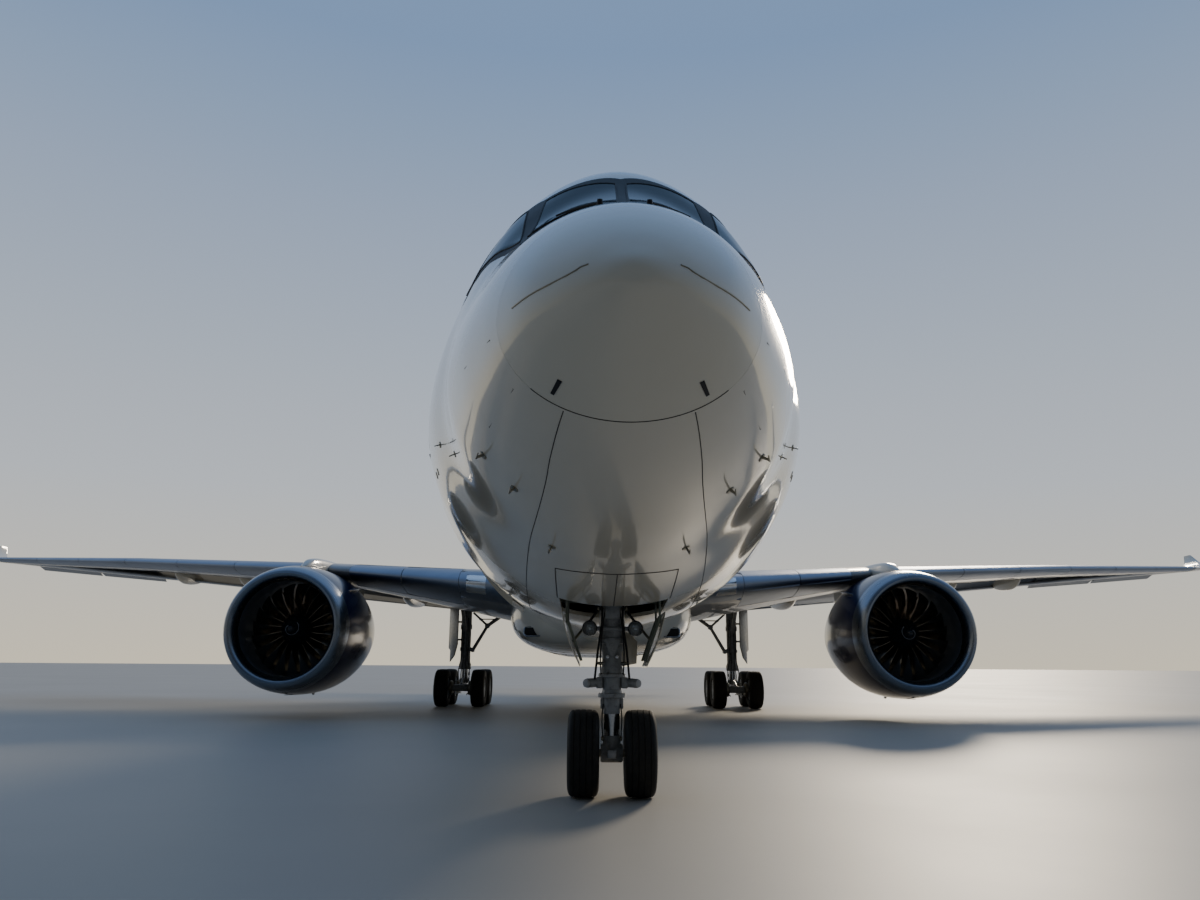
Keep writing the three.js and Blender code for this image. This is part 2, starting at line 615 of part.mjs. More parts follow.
function wheelPair(tyre, y, x0, axle) {
  const radius = tyre.radius / Math.cos(Math.PI / WHEEL_SIDES);
  const half = tyre.width / 2;
  const outer = WHEEL.map(([part, reach]) => new THREE.Vector2(part * radius, reach * half));
  const inner = outer.map((point) => new THREE.Vector2(point.x, -point.y)).reverse();
  const wheels = [-1, 1].map((side) => {
    const geometry = new THREE.LatheGeometry([...inner, ...outer], WHEEL_SIDES);
    // a flat of the tread faces down
    geometry.rotateY(Math.PI / WHEEL_SIDES);
    geometry.rotateZ(-Math.PI / 2);
    geometry.translate(x0 + side * tyre.track / 2, y, tyre.radius);
    const solid = toSolid(geometry);
    return solid.volume() < 0 ? toSolid(flipped(geometry)) : solid;
  });
  const reach = tyre.track / 2;
  const shaft = rod([x0 - reach, y, tyre.radius], [x0 + reach, y, tyre.radius], axle);
  return join([...wheels, shaft]);
}

// Nose gear

function noseLeg() {
  const y = NOSE_GEAR_Y;
  const { bottom, top, radius, footRadius, footHeight } = NOSE_LEG;
  const lamps = [-1, 1].map((side) =>
    rod([side * LAMP.x, y - LAMP.front, LAMP.z], [side * LAMP.x, y - LAMP.back, LAMP.z], LAMP.radius));
  const across = ({ half, z, radius: thick }) => rod([-half, y, z], [half, y, z], thick);
  return join([
    rod([0, y, bottom], [0, y, top], radius),
    rod([0, y, bottom], [0, y, bottom + footHeight], footRadius),
    across(NOSE_TRUNNION),
    across(STEERING),
    block([-LAMP.x, y - LAMP_BAR.front, LAMP_BAR.low], [LAMP.x, y - LAMP.back, LAMP_BAR.high]),
    block([-LAMP_HEAD.half, y - LAMP_HEAD.front, LAMP_HEAD.low], [LAMP_HEAD.half, y, LAMP_HEAD.high]),
    ...lamps,
  ]);
}

function noseLowerLeg() {
  const y = NOSE_GEAR_Y;
  const axleZ = NOSE_TYRE.radius;
  const { low, high, radius, sides } = NOSE_COLLAR;
  const link = NOSE_LINK;
  const tow = TOW_FITTING;
  const body = join([
    rod([0, y, axleZ], [0, y, NOSE_LEG.bottom - SEAM], NOSE_PISTON),
    rod([0, y, low], [0, y, high], radius, radius, sides),
    rod([-NOSE_HUB.half, y, axleZ], [NOSE_HUB.half, y, axleZ], NOSE_HUB.radius),
    // the two torque links behind the piston
    rod([0, y + NOSE_PISTON, link.top], [0, y + link.back, link.z], link.radius),
    rod([0, y + link.back, link.z], [0, y, link.low], link.radius),
    rod([-link.half, y + link.back, link.z], [link.half, y + link.back, link.z], link.pin),
    block([-tow.half, y - tow.reach, tow.low], [tow.half, y, tow.high]),
  ]);
  const bore = rod([-2 * NOSE_HUB.half, y, axleZ], [2 * NOSE_HUB.half, y, axleZ], NOSE_AXLE + AXLE_PLAY);
  return body.subtract(bore);
}

function noseDragStrut() {
  const [lowX, ahead, lowZ] = DRAG_STRUT.low;
  const [highX, highY, highZ] = DRAG_STRUT.high;
  const y = NOSE_GEAR_Y - ahead;
  const legs = [-1, 1].map((side) =>
    rod([side * lowX, y, lowZ], [side * highX, highY, highZ], DRAG_STRUT.radius));
  const pin = rod([-DRAG_STRUT.pinHalf, y, lowZ], [DRAG_STRUT.pinHalf, y, lowZ], DRAG_STRUT.pin);
  const { half, y: tieY, z: tieZ, radius } = DRAG_TIE;
  const tie = rod([-half, tieY, tieZ], [half, tieY, tieZ], radius);
  return join([...legs, pin, tie]);
}

function noseDoor() {
  const { front, back, topX, topZ, lowX, lowZ, thick, belly } = NOSE_DOOR;
  const midX = (topX + lowX) / 2 + belly;
  const midZ = (topZ + lowZ) / 2;
  const panel = frontPlate([[topX, topZ], [midX, midZ], [lowX, lowZ], [lowX - thick, lowZ],
    [midX - thick, midZ], [topX - thick, topZ]], front, back);
  const { out, width, low, high } = NOSE_DOOR_ARM;
  const arms = [front + NOSE_DOOR_ARM.front, back - NOSE_DOOR_ARM.back].map((y) =>
    block([topX - out - width, y, low], [topX - out, y + width, high]));
  return join([panel, ...arms]);
}

// Main gear, modelled on the left side

function mainLeg(wingGrown) {
  const [x, y] = [MAIN_GEAR_X, MAIN_GEAR_Y];
  const { bottom, top, radius, footRadius, footHeight, piston } = MAIN_LEG;
  const link = MAIN_LINK;
  const door = LEG_DOOR;
  const [front, back] = [door.front, door.back].map(([out, behind]) => [x + out, y + behind]);
  const leg = join([
    rod([x, y, bottom], [x, y, top], radius),
    rod([x, y, bottom], [x, y, bottom + footHeight], footRadius),
    rod([x, y, BOGIE.high + SEAM], [x, y, bottom + footHeight], piston),
    rod([x, y, BOGIE.high + SEAM], [x, y, BOGIE.high + BOGIE.saddleHeight], BOGIE.saddle),
    // torque links behind the leg
    rod([x, y + piston, link.top], [x, y + link.back, link.z], link.radius),
    rod([x, y + link.back, link.z], [x, y + piston / 2, link.low], link.radius),
    rod([x, y, DRAG_ARM.low], [x + DRAG_ARM.out, y - DRAG_ARM.back, DRAG_ARM.high], DRAG_ARM.radius),
    standingPlate(LEG_DOOR_OUTLINE, front, back, door.thick),
    ...door.stays.map((z) => rod([x, y, z], [x + door.out, y, z], door.stayRadius)),
  ]);
  return cut(leg, [wingGrown]);
}

function sideStay(wingGrown) {
  const at = ([inboard, ahead, z]) => [MAIN_GEAR_X - inboard, MAIN_GEAR_Y - ahead, z];
  const [low, knee, high, lock] = [STAY.low, STAY.knee, STAY.high, STAY.lock].map(at);
  const pin = ([x, y, z], half, radius) => rod([x, y - half, z], [x, y + half, z], radius);
  const stay = join([
    pin(low, STAY_RADIUS.footHalf, STAY_RADIUS.high),
    pin(knee, STAY_RADIUS.pinHalf, STAY_RADIUS.pin),
    rod(low, knee, STAY_RADIUS.low),
    rod(knee, high, STAY_RADIUS.high),
    rod(knee, lock, STAY_RADIUS.lock),
  ]);
  return cut(stay, [wingGrown, fuselageCutter, fairingCutter]);
}

function bogie() {
  const [x, y] = [MAIN_GEAR_X, MAIN_GEAR_Y];
  const z = MAIN_TYRE.radius;
  const reach = AXLE_REACH + BOGIE.end;
  const across = (along, half, radius) => rod([x - half, y + along, z], [x + half, y + along, z], radius);
  const ends = [-AXLE_REACH, AXLE_REACH];
  const beam = join([
    block([x - BOGIE.half, y - reach, BOGIE.low], [x + BOGIE.half, y + reach, BOGIE.high]),
    ...ends.map((end) => across(end, BOGIE.hubHalf, BOGIE.hub)),
    across(0, BOGIE.pinHalf, BOGIE.pin),
  ]);
  return cut(beam, ends.map((end) => across(end, MAIN_TYRE.track / 2, MAIN_AXLE + AXLE_PLAY)));
}

// The body

function jackPad([x, y, top, bottom]) {
  return rod([x, y, top], [x, y, bottom], PAD_RADIUS);
}

const bayEnd = [NOSE_BAY.half, NOSE_BAY.back, NOSE_BAY.top];
const noseBay = join([block([-NOSE_BAY.half, NOSE_BAY.mouth, 0], bayEnd),
  block([-NOSE_BAY.half, NOSE_BAY.front, NOSE_BAY.floor], bayEnd)]);
const leftGlass = fuselagePart(0, NOSE_END).intersect(glazingRoom(0));
const leftGlassRoom = glazingRoom(SEAM);
const doorRooms = Object.values(CARGO_DOORS).map((ends) => cargoRoom(ends, CLEAR));

addPiece('radome', fuselagePart(0, RADOME_END), 'cream', 0.3, 0);
const noseHull = cut(noseSkin, [noseBay, leftGlassRoom, mirrored(leftGlassRoom)]);
addPiece('nose_section', noseHull.add(jackPad(NOSE_PAD)), 'cream', 0.3, 0);
addPiece('fuselage', cut(fuselageSkin, doorRooms), 'cream', 0.3, 0);
addPiece('tail_cone', fuselagePart(CONE_START, LENGTH), 'cream', 0.3, 0);
addPiece('belly_fairing', cut(fairingPart(), [fuselageCutter]), 'cream', 0.35, 0);
for (const [name, ends] of Object.entries(CARGO_DOORS)) {
  addPiece(`${name}_cargo_door`, fuselageSkin.intersect(cargoRoom(ends, 0)), 'cream', 0.3, 0);
}

// Tail

const finWhole = finSurface();
const rudderLine = [finPoint(RUDDER.bottom, RUDDER.start), finPoint(RUDDER.top, RUDDER.start)];
const rudder = hinged(finWhole, ...rudderLine, REACH, ACROSS);
addPiece('fin', cut(finWhole, [rudder.room, fuselageCutter]), 'navy', 0.3, 0);
addPiece('rudder', rudder.piece.subtract(coneCutter), 'navy', 0.3, 0);

const tailWhole = surface(STABILISER);
const elevatorLine = [ELEVATOR.inner, ELEVATOR.outer].map((x) => foilPoint(STABILISER, x, ELEVATOR.start));
const elevator = hinged(tailWhole, ...elevatorLine, REACH, UP);
const elevatorEnds = elevatorLine.map((place) => place.point);
const elevatorDown = turnAbout(elevator.piece, ...elevatorEnds, -ELEVATOR.droop);
const tailPanel = cut(tailWhole, [elevator.room, fuselageCutter]);

const wing = wingParts();
const wingGrown = wing.grown;
const nacelleOuter = [...NACELLE_OUTSIDE, ...NACELLE_INSIDE];
const pylonRoom = around(pylonWhole, SEAM);
const nacelle = turned(nacelleOuter, ENGINE_X, LIP_Y, ENGINE_Z, NACELLE_SIDES).subtract(pylonRoom);
const core = turned(CORE, ENGINE_X, LIP_Y, ENGINE_Z, NACELLE_SIDES).subtract(pylonRoom);
const pylon = pylonWhole.subtract(wingGrown);
const tipStart = WINGTIP[0][0];
const tip = surface(WINGTIP).subtract(block([tipStart - 1, 0, 0], [tipStart + SEAM, LENGTH, 3 * BIG]));

for (const side of ['left', 'right']) {
  const put = (name, solid, ...look) => addPiece(`${side}_${name}`, onSide(side, solid), ...look);
  put('cockpit_glass', leftGlass, 'glass', 0.1, 0);
  put('stabiliser', tailPanel, 'cream', 0.35, 0);
  put('elevator', elevatorDown, 'cream', 0.35, 0);
  put('wing', wing.panel, 'grey', 0.4, 0.1);
  put('wingtip', tip, 'cream', 0.35, 0);
  for (const [name, solid] of Object.entries(wing.fixed)) put(name, solid, 'grey', 0.35, 0.2);
  for (const [name, solid] of Object.entries(wing.ailerons)) {
    put(`${name}_aileron`, solid, 'grey', 0.4, 0.1);
  }
  put('pylon', pylon, 'cream', 0.3, 0);
  put('nacelle', nacelle, 'navy', 0.25, 0);
  put('engine_core', core, 'steel', 0.4, 0.8);
  put('fan', fanRotor(), 'blade', 0.3, 0.8);
  put('main_leg', mainLeg(wingGrown), 'steel', 0.45, 0.4);
  put('side_stay', sideStay(wingGrown), 'steel', 0.45, 0.4);
  put('bogie', bogie(), 'steel', 0.45, 0.4);
  for (const [name, end] of [['front', -1], ['rear', 1]]) {
    const pair = wheelPair(MAIN_TYRE, MAIN_GEAR_Y + end * AXLE_REACH, MAIN_GEAR_X, MAIN_AXLE);
    put(`${name}_main_wheels`, pair, 'rubber', 0.9, 0);
  }
  put('nose_gear_door', noseDoor(), 'cream', 0.35, 0);
}

addPiece('nose_leg', noseLeg(), 'steel', 0.45, 0.4);
addPiece('nose_drag_strut', noseDragStrut(), 'steel', 0.45, 0.4);
addPiece('nose_lower_leg', noseLowerLeg(), 'steel', 0.35, 0.6);
addPiece('nose_wheels', wheelPair(NOSE_TYRE, NOSE_GEAR_Y, 0, NOSE_AXLE), 'rubber', 0.9, 0);

export default group;
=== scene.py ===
# %% [markdown]
# # An airliner at half size, parked on its gear
#
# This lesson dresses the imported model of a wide-body airliner. The frame holds plain, exact solids, and
# every visible skin, window, pipe and wheel is built around them with bmesh operators. All sizes are
# written for the real aircraft, in metres: x to its left, y behind the tip of the nose, z above the
# ground. One matrix halves a piece when it is finished, so a workshop drawing can be typed in as it is.

# %% Load the frame
from functools import lru_cache
from bisect import bisect_right
from math import acos, asin, atan2, copysign, cos, pi, radians, sin, sqrt

import bmesh
import bpy
from mathutils import Matrix, Vector, geometry


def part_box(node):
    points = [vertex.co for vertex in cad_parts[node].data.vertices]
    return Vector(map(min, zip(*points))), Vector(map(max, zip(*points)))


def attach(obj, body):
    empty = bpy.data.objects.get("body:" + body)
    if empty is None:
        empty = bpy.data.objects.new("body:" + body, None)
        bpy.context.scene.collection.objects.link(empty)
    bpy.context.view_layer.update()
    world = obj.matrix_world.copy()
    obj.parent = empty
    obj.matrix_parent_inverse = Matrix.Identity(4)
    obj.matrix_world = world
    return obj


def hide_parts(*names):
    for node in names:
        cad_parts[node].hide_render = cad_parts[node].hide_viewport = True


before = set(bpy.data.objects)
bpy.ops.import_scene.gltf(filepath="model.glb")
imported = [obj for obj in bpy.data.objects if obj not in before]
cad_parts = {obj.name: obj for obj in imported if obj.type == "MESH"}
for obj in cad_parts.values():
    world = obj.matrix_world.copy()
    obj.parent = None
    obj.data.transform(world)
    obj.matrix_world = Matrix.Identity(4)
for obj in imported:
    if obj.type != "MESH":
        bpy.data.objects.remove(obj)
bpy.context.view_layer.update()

SCALE = 0.5
NOSE_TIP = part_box("radome")[0].y
TO_MODEL = Matrix.Translation((0, NOSE_TIP, 0)) @ Matrix.Scale(SCALE, 4)
print("the nose tip is at y =", round(NOSE_TIP, 3))

# %% [markdown]
# ## Where the picture is taken from
#
# The photographer crouches ahead of the nose with a wide lens, tilted up. The camera's place came from
# a fit to the wheels, the engines and the gear, so a point of the model falls where it should.

# %% The camera
CAMERA_AT = (-0.25, -5.31, 1.60)
FOCAL_LENGTH = 27.27
SENSOR_WIDTH = 36
TILT = 13.30
TURN = -0.37
ROLL = 0.40
FAR_CLIP = 1000



def in_scene(name, data):
    """A new object, linked to the scene"""
    thing = bpy.data.objects.new(name, data)
    bpy.context.scene.collection.objects.link(thing)
    return thing


lens = bpy.data.cameras.new("camera")
lens.lens = FOCAL_LENGTH
lens.sensor_width = SENSOR_WIDTH
lens.clip_end = FAR_CLIP
camera = in_scene("camera", lens)
aim = Matrix.Rotation(radians(TURN), 4, "Z") @ Matrix.Rotation(radians(90 + TILT), 4, "X")
aim = aim @ Matrix.Rotation(radians(ROLL), 4, "Z")
camera.matrix_world = Matrix.Translation(TO_MODEL @ Vector(CAMERA_AT)) @ aim
bpy.context.scene.camera = camera
print("camera height", round(camera.location.z, 2), "m on the model")

# %% [markdown]
# ## Colour and nodes
#
# A colour picked on a screen is an sRGB value, but a shader counts light, so one function turns hex
# codes to linear values. One more adds a node with its values and links. Pattern sizes are given in
# real millimetres, and `per` turns such a size into a texture scale on the half-size model.

# %% Colours, nodes and scales
def linear(code):
    """An sRGB hex colour as linear red, green, blue and alpha"""
    parts = [int(code[i:i + 2], 16) / 255 for i in (1, 3, 5)]
    return [c / 12.92 if c <= 0.04045 else ((c + 0.055) / 1.055) ** 2.4 for c in parts] + [1]


def add(tree, kind, values=None, links=None, **settings):
    """A new node with its settings, its sockets' values and the sockets that feed it"""
    node = tree.nodes.new(kind)
    for name, value in settings.items():
        setattr(node, name, value)
    for socket, value in (values or {}).items():
        node.inputs[socket].default_value = value
    for socket, source in (links or {}).items():
        tree.links.new(source, node.inputs[socket])
    return node


def compute(tree, operation, first, second):
    """One step of arithmetic; the second value is a socket or a number"""
    values, links = ({1: second}, {}) if isinstance(second, (int, float)) else ({}, {1: second})
    return add(tree, "ShaderNodeMath", values, {0: first, **links}, operation=operation).outputs[0]


def per(millimetres):
    """The texture scale of a pattern that repeats every so many real millimetres"""
    return 1000 / (millimetres * SCALE)


FACTOR, FIRST, SECOND, MIXED = 0, 6, 7, 2      # a colour Mix node's sockets

# %% [markdown]
# ## A surface that has been outdoors
#
# Every finish on an aircraft starts the same way: a colour that wanders a little between two tones, a
# gloss that isn't even, and a fine relief. `weathered` builds that base for paint, metal and rubber
# alike, and each real finish then adds what is its own.

# %% The common base of the finishes
COAT_ROUGHNESS = 0.04


def weathered(name, tones, patch, gloss, grain, depth, metallic=0.0, ior=1.5, coat=0.0, stretch=(1, 1, 1)):
    """A surface between two tones in patches, with a grain; patch, grain and depth are in real mm"""
    material = bpy.data.materials.new(name)
    material.use_nodes = True
    tree = material.node_tree
    shader = tree.nodes["Principled BSDF"]
    settings = {"Metallic": metallic, "IOR": ior, "Coat Weight": coat, "Coat Roughness": COAT_ROUGHNESS}
    for socket, value in settings.items():
        shader.inputs[socket].default_value = value
    where = add(tree, "ShaderNodeTexCoord").outputs["Object"]
    along = add(tree, "ShaderNodeMapping", {"Scale": stretch}, {"Vector": where}).outputs["Vector"]
    cloud = add(tree, "ShaderNodeTexNoise", {"Scale": per(patch), "Detail": 6.0, "Roughness": 0.6},
                {"Vector": along})
    colour = add(tree, "ShaderNodeMix", {FIRST: linear(tones[0]), SECOND: linear(tones[1])},
                 {FACTOR: cloud.outputs["Fac"]}, data_type="RGBA")
    fine = add(tree, "ShaderNodeTexNoise", {"Scale": per(grain), "Detail": 3.0}, {"Vector": along})
    rough = add(tree, "ShaderNodeMapRange", {"To Min": gloss[0], "To Max": gloss[1]},
                {"Value": cloud.outputs["Fac"]})
    relief = add(tree, "ShaderNodeBump", {"Strength": 0.5, "Distance": depth * 0.001 * SCALE},
                 {"Height": fine.outputs["Fac"]})
    tree.links.new(colour.outputs[MIXED], shader.inputs["Base Color"])
    tree.links.new(rough.outputs["Result"], shader.inputs["Roughness"])
    tree.links.new(relief.outputs["Normal"], shader.inputs["Normal"])
    return {"material": material, "tree": tree, "shader": shader, "where": where, "colour": colour,
            "relief": relief}


def finish(*row, **options):
    """The material alone, where nothing more is added"""
    return weathered(*row, **options)["material"]


def darken(made, mask, code, amount=1.0):
    """Puts a colour over the base colour where the mask is 1"""
    tree = made["tree"]
    over = add(tree, "ShaderNodeMix", {SECOND: linear(code)},
               {FACTOR: compute(tree, "MULTIPLY", mask, amount), FIRST: made["colour"].outputs[MIXED]},
               data_type="RGBA")
    tree.links.new(over.outputs[MIXED], made["shader"].inputs["Base Color"])
    made["colour"] = over


def groove(made, mask, depth):
    """Presses the mask into the relief, depth in real mm"""
    tree = made["tree"]
    cut = add(tree, "ShaderNodeBump", {"Strength": 1.0, "Distance": depth * 0.001 * SCALE},
              {"Height": mask, "Normal": made["relief"].outputs["Normal"]}, invert=True)
    tree.links.new(cut.outputs["Normal"], made["shader"].inputs["Normal"])
    made["relief"] = cut


# %% [markdown]
# ## Paint on the hull
#
# Airliners are sprayed with a polyurethane topcoat under a clear coat, on aluminium sheets about 2.1
# by 1.1 metres that are riveted edge to edge. The sheets' laps show as thin lines, and between frames
# the skin is drawn in a little, which makes reflections wavy. The laps run round the hull and along
# it, so the pattern reads the distance round the centre line and not a flat projection.

# %% Cream topcoat
CENTRE_Z = 4.92
HULL_RADIUS = 2.82
LAP_LENGTH = 2.12
LAP_HEIGHT = 1.11
LAP_WIDTH = 0.006
LAPS_START = 9.6             # the nose is made of larger formed panels


def hull_coordinates(made):
    """Distance along the hull and round it, on the model"""
    tree = made["tree"]
    split = add(tree, "ShaderNodeSeparateXYZ", links={0: made["where"]})
    rise = compute(tree, "SUBTRACT", split.outputs["Z"], CENTRE_Z * SCALE)
    arc = compute(tree, "MULTIPLY", compute(tree, "ARCTAN2", split.outputs["X"], rise), HULL_RADIUS * SCALE)
    return add(tree, "ShaderNodeCombineXYZ", links={0: split.outputs["Y"], 1: arc}).outputs[0]


def lap_lines(made, where, length, height, width):
    """A mask that is 1 on the seams between sheets of that length and height, in real metres"""
    sheets = add(made["tree"], "ShaderNodeTexBrick",
                 {"Scale": 1.0, "Mortar Size": width * SCALE, "Mortar Smooth": 0.3,
                  "Brick Width": length * SCALE, "Row Height": height * SCALE},
                 {"Vector": where}, offset=0.5)
    return sheets.outputs["Fac"]


def hull_paint(name, tones, gloss):
    made = weathered(name, tones, 1900, gloss, 420, 2.0, coat=0.8)
    along_and_round = hull_coordinates(made)
    laps = lap_lines(made, along_and_round, LAP_LENGTH, LAP_HEIGHT, LAP_WIDTH)
    along = add(made["tree"], "ShaderNodeSeparateXYZ", links={0: along_and_round}).outputs["X"]
    aft = compute(made["tree"], "GREATER_THAN", along, LAPS_START * SCALE + NOSE_TIP)
    shown = compute(made["tree"], "MULTIPLY", laps, aft)
    darken(made, shown, "#8F8A7E", 0.45)
    groove(made, shown, 1.2)
    return made["material"]


cream_topcoat = hull_paint("cream_polyurethane_topcoat", ("#E6E0D0", "#DAD2BE"), (0.10, 0.20))
cream_gloss = finish("cream_composite_topcoat", ("#EAE4D4", "#DCD4C0"), 1700, (0.12, 0.24), 700, 1.6,
                     coat=0.7)
radome_paint = finish("cream_antistatic_radome_paint", ("#E5DFCD", "#DAD3BE"), 1400, (0.12, 0.22), 300, 1.2,
                      coat=0.7)
print("laps every", LAP_LENGTH, "by", LAP_HEIGHT, "m")

# %% [markdown]
# ## Navy, grey and white surfaces
#
# The cowls wear the same glossy topcoat in navy. A wing is painted in a duller grey that doesn't
# dazzle the cabin, with laps along and across the span.

# %% Navy, wing grey and tail finishes
def flat_paint(name, tones, gloss, sheet, line):
    """A topcoat whose laps follow x and y, for wings, tail and cowls"""
    made = weathered(name, tones, 1500, gloss, 380, 1.6, coat=0.4)
    laps = lap_lines(made, made["where"], sheet[0], sheet[1], LAP_WIDTH)
    darken(made, laps, line, 0.5)
    groove(made, laps, 1.0)
    return made["material"]


navy_topcoat = finish("navy_polyurethane_topcoat", ("#16214B", "#101838"), 1200, (0.16, 0.26), 500, 1.2,
                      coat=0.3)
wing_paint = flat_paint("grey_wing_enamel", ("#9DA1A5", "#85898E"), (0.30, 0.46), (2.4, 1.2), "#4A4D50")
tail_paint = flat_paint("cream_tail_topcoat", ("#E8E2D3", "#DAD2BF"), (0.20, 0.32), (2.0, 1.0), "#8F8A7E")
fin_paint = finish("navy_fin_topcoat", ("#18244F", "#121A3D"), 1800, (0.12, 0.22), 450, 1.4, coat=0.6)

# %% [markdown]
# ## Metals
#
# The intake lips and slats are bare aluminium, polished so that ice lets go, with fine lines from the
# polishing wheel. Fan blades are titanium, the nozzle is nickel alloy that heat has browned, and the
# sliding part of a gear leg is ground chrome.

# %% Metals
polished_lip = finish("polished_aluminium_lip", ("#A4ABB4", "#878F9B"), 700, (0.20, 0.32), 14, 0.05,
                      metallic=1.0, stretch=(1, 6, 1))
slat_metal = finish("brushed_aluminium_slat", ("#A9B3C2", "#8E99AB"), 1300, (0.36, 0.50), 18, 0.06,
                    metallic=1.0, stretch=(0.2, 1, 1))
fan_titanium = finish("forged_titanium_blade", ("#A39E93", "#837E74"), 160, (0.16, 0.30), 9, 0.08,
                      metallic=1.0, stretch=(1, 1, 0.3))
nozzle_alloy = finish("heat_browned_nickel_alloy", ("#9A8B78", "#6E6256"), 420, (0.28, 0.46), 30, 0.25,
                      metallic=1.0, stretch=(1, 3, 1))
chrome = finish("ground_hard_chrome", ("#D5D8DB", "#B9BDC1"), 120, (0.14, 0.28), 6, 0.02, metallic=1.0,
                stretch=(1, 1, 8))
steel = finish("cadmium_plated_steel", ("#A39F90", "#7D7B70"), 60, (0.26, 0.46), 5, 0.06, metallic=1.0)

# %% [markdown]
# ## Gear enamel, rubber, black paint and painted shade
#
# Gear legs are enamelled light grey so that leaks show, and grease and tyre dust settle on them. The
# tyres are black natural rubber that has gone grey and brown on the sides.

# %% Gear and tyre finishes
def grimy(made, patch, code, amount):
    """Dirt in blotches over a finish, patch in real mm"""
    tree = made["tree"]
    blot = add(tree, "ShaderNodeTexNoise", {"Scale": per(patch), "Detail": 8.0, "Roughness": 0.7},
               {"Vector": made["where"]})
    edge = add(tree, "ShaderNodeMapRange", {"From Min": 0.48, "From Max": 0.72},
               {"Value": blot.outputs["Fac"]})
    darken(made, edge.outputs["Result"], code, amount)
    return made["material"]


gear_enamel = grimy(weathered("grey_gear_enamel", ("#A9ADAF", "#8C9093"), 240, (0.22, 0.42), 12, 0.15,
                              coat=0.2), 90, "#2E2A24", 0.75)
rim_enamel = grimy(weathered("silver_wheel_enamel", ("#B7BABC", "#9A9DA0"), 160, (0.26, 0.42), 8, 0.1,
                             metallic=0.6), 60, "#2A2621", 0.6)
tyre_rubber = grimy(weathered("moulded_tyre_rubber", ("#1B1B1C", "#26251F"), 140, (0.62, 0.86), 7, 0.5),
                    120, "#45403A", 0.35)
bay_primer = grimy(weathered("green_grey_bay_primer", ("#8F978A", "#767D70"), 260, (0.45, 0.65), 25, 0.3),
                   180, "#2B2A26", 0.7)
black_rubber = finish("extruded_black_rubber", ("#17181A", "#222326"), 60, (0.45, 0.65), 4, 0.1)
# black enamel of the cockpit mask and wipers, also used as painted shade in the inlets' throats, the exhaust
# duct and the wheels' cooling holes
black_paint_and_shade = finish("black_mask_enamel", ("#0A0B0E", "#101216"), 500, (0.45, 0.6), 200, 0.3)
seam_shadow = finish("dark_seam_sealant", ("#2A2925", "#38362F"), 60, (0.6, 0.8), 4, 0.1)

# %% [markdown]
# ## Glass
#
# A windscreen is three plies of glass with a conductive film that tints it blue green, over a dark
# cockpit. No light comes through from the far side, so the stack can be one dark, very smooth surface
# under a clear coat, which is easier to render than a real void. Cabin panes are stretched acrylic,
# drawn the same way: their dark colour is painted shade of the dim cabin behind them.

# %% Glass
windscreen = weathered("laminated_windscreen_glass", ("#0B2A36", "#103A4A"), 800, (0.03, 0.07), 900, 0.3,
                       ior=1.52)
windscreen["shader"].inputs["Specular IOR Level"].default_value = 0.06     # it has a glare film
cockpit_glass = windscreen["material"]
# the panes' dark tones are painted shade of the dim cabin behind them
cabin_pane = finish("stretched_acrylic_pane", ("#20282E", "#12181D"), 700, (0.03, 0.08), 300, 0.4, ior=1.49,
                    coat=1.0)
pressed_glass = weathered("pressed_lamp_glass", ("#F2F6F7", "#DDE6EA"), 50, (0.02, 0.08), 16, 0.6, ior=1.52)
pressed_glass["shader"].inputs["Transmission Weight"].default_value = 0.92
lamp_glass = pressed_glass["material"]
red_lens = finish("red_moulded_lens", ("#A3120E", "#7A0D0A"), 40, (0.05, 0.1), 12, 0.4, ior=1.52, coat=1.0)

SLOT_OF = {cream_topcoat: "cream_paint", cream_gloss: "cream_paint", radome_paint: "cream_paint",
           tail_paint: "cream_paint",
           navy_topcoat: "navy_paint", fin_paint: "navy_paint", wing_paint: "wing_grey",
           slat_metal: "bare_aluminium", polished_lip: "bare_aluminium", nozzle_alloy: "engine_metal",
           fan_titanium: "fan_blade_metal", gear_enamel: "gear_paint", rim_enamel: "gear_paint",
           tyre_rubber: "tyre_rubber", cockpit_glass: "cockpit_glass"}
print(len(bpy.data.materials), "materials")

# %% [markdown]
# ## Shapes from a few operators
#
# A sheet is a grid whose points are moved to where a formula says, so a hull, a wing or a blade is one
# call. Rods and blocks come from cones and cubes with their edges bevelled, turned parts from one full
# spin, and pipes from a sheet rolled round a path. Each returns a bmesh that nothing else has touched.

# %% Sheets, rods, blocks, turned parts, pipes and plates
MERGE = 0.0004
X, Y, Z = (1, 0, 0), (0, 1, 0), (0, 0, 1)


def circle(part):
    """Across and up on a circle, part of the way round"""
    return cos(2 * pi * part), sin(2 * pi * part)


def bent(value, power):
    """A power that keeps the sign"""
    return copysign(abs(value) ** power, value)


def sheet(columns, rows, place):
    """A grid whose point u, v (each from 0 to 1) goes to place(u, v)"""
    mesh = bmesh.new()
    bmesh.ops.create_grid(mesh, x_segments=columns, y_segments=rows, size=0.5)
    for vert in mesh.verts:
        vert.co = place(vert.co.x + 0.5, vert.co.y + 0.5)
    return mesh


def sealed(mesh):
    """The same mesh with doubles merged and its holes filled"""
    bmesh.ops.remove_doubles(mesh, verts=mesh.verts, dist=MERGE)
    bmesh.ops.holes_fill(mesh, edges=[edge for edge in mesh.edges if edge.is_boundary], sides=0)
    return mesh


def softened(mesh, edges, width):
    """Rounds the edges by a bevel"""
    bmesh.ops.bevel(mesh, geom=edges, offset=width, segments=2, affect="EDGES", profile=0.5, material=-1,
                    clamp_overlap=True)
    return mesh


def walled(mesh, thickness):
    """Gives a sheet a wall, inwards"""
    bmesh.ops.solidify(mesh, geom=mesh.faces, thickness=thickness)
    return mesh


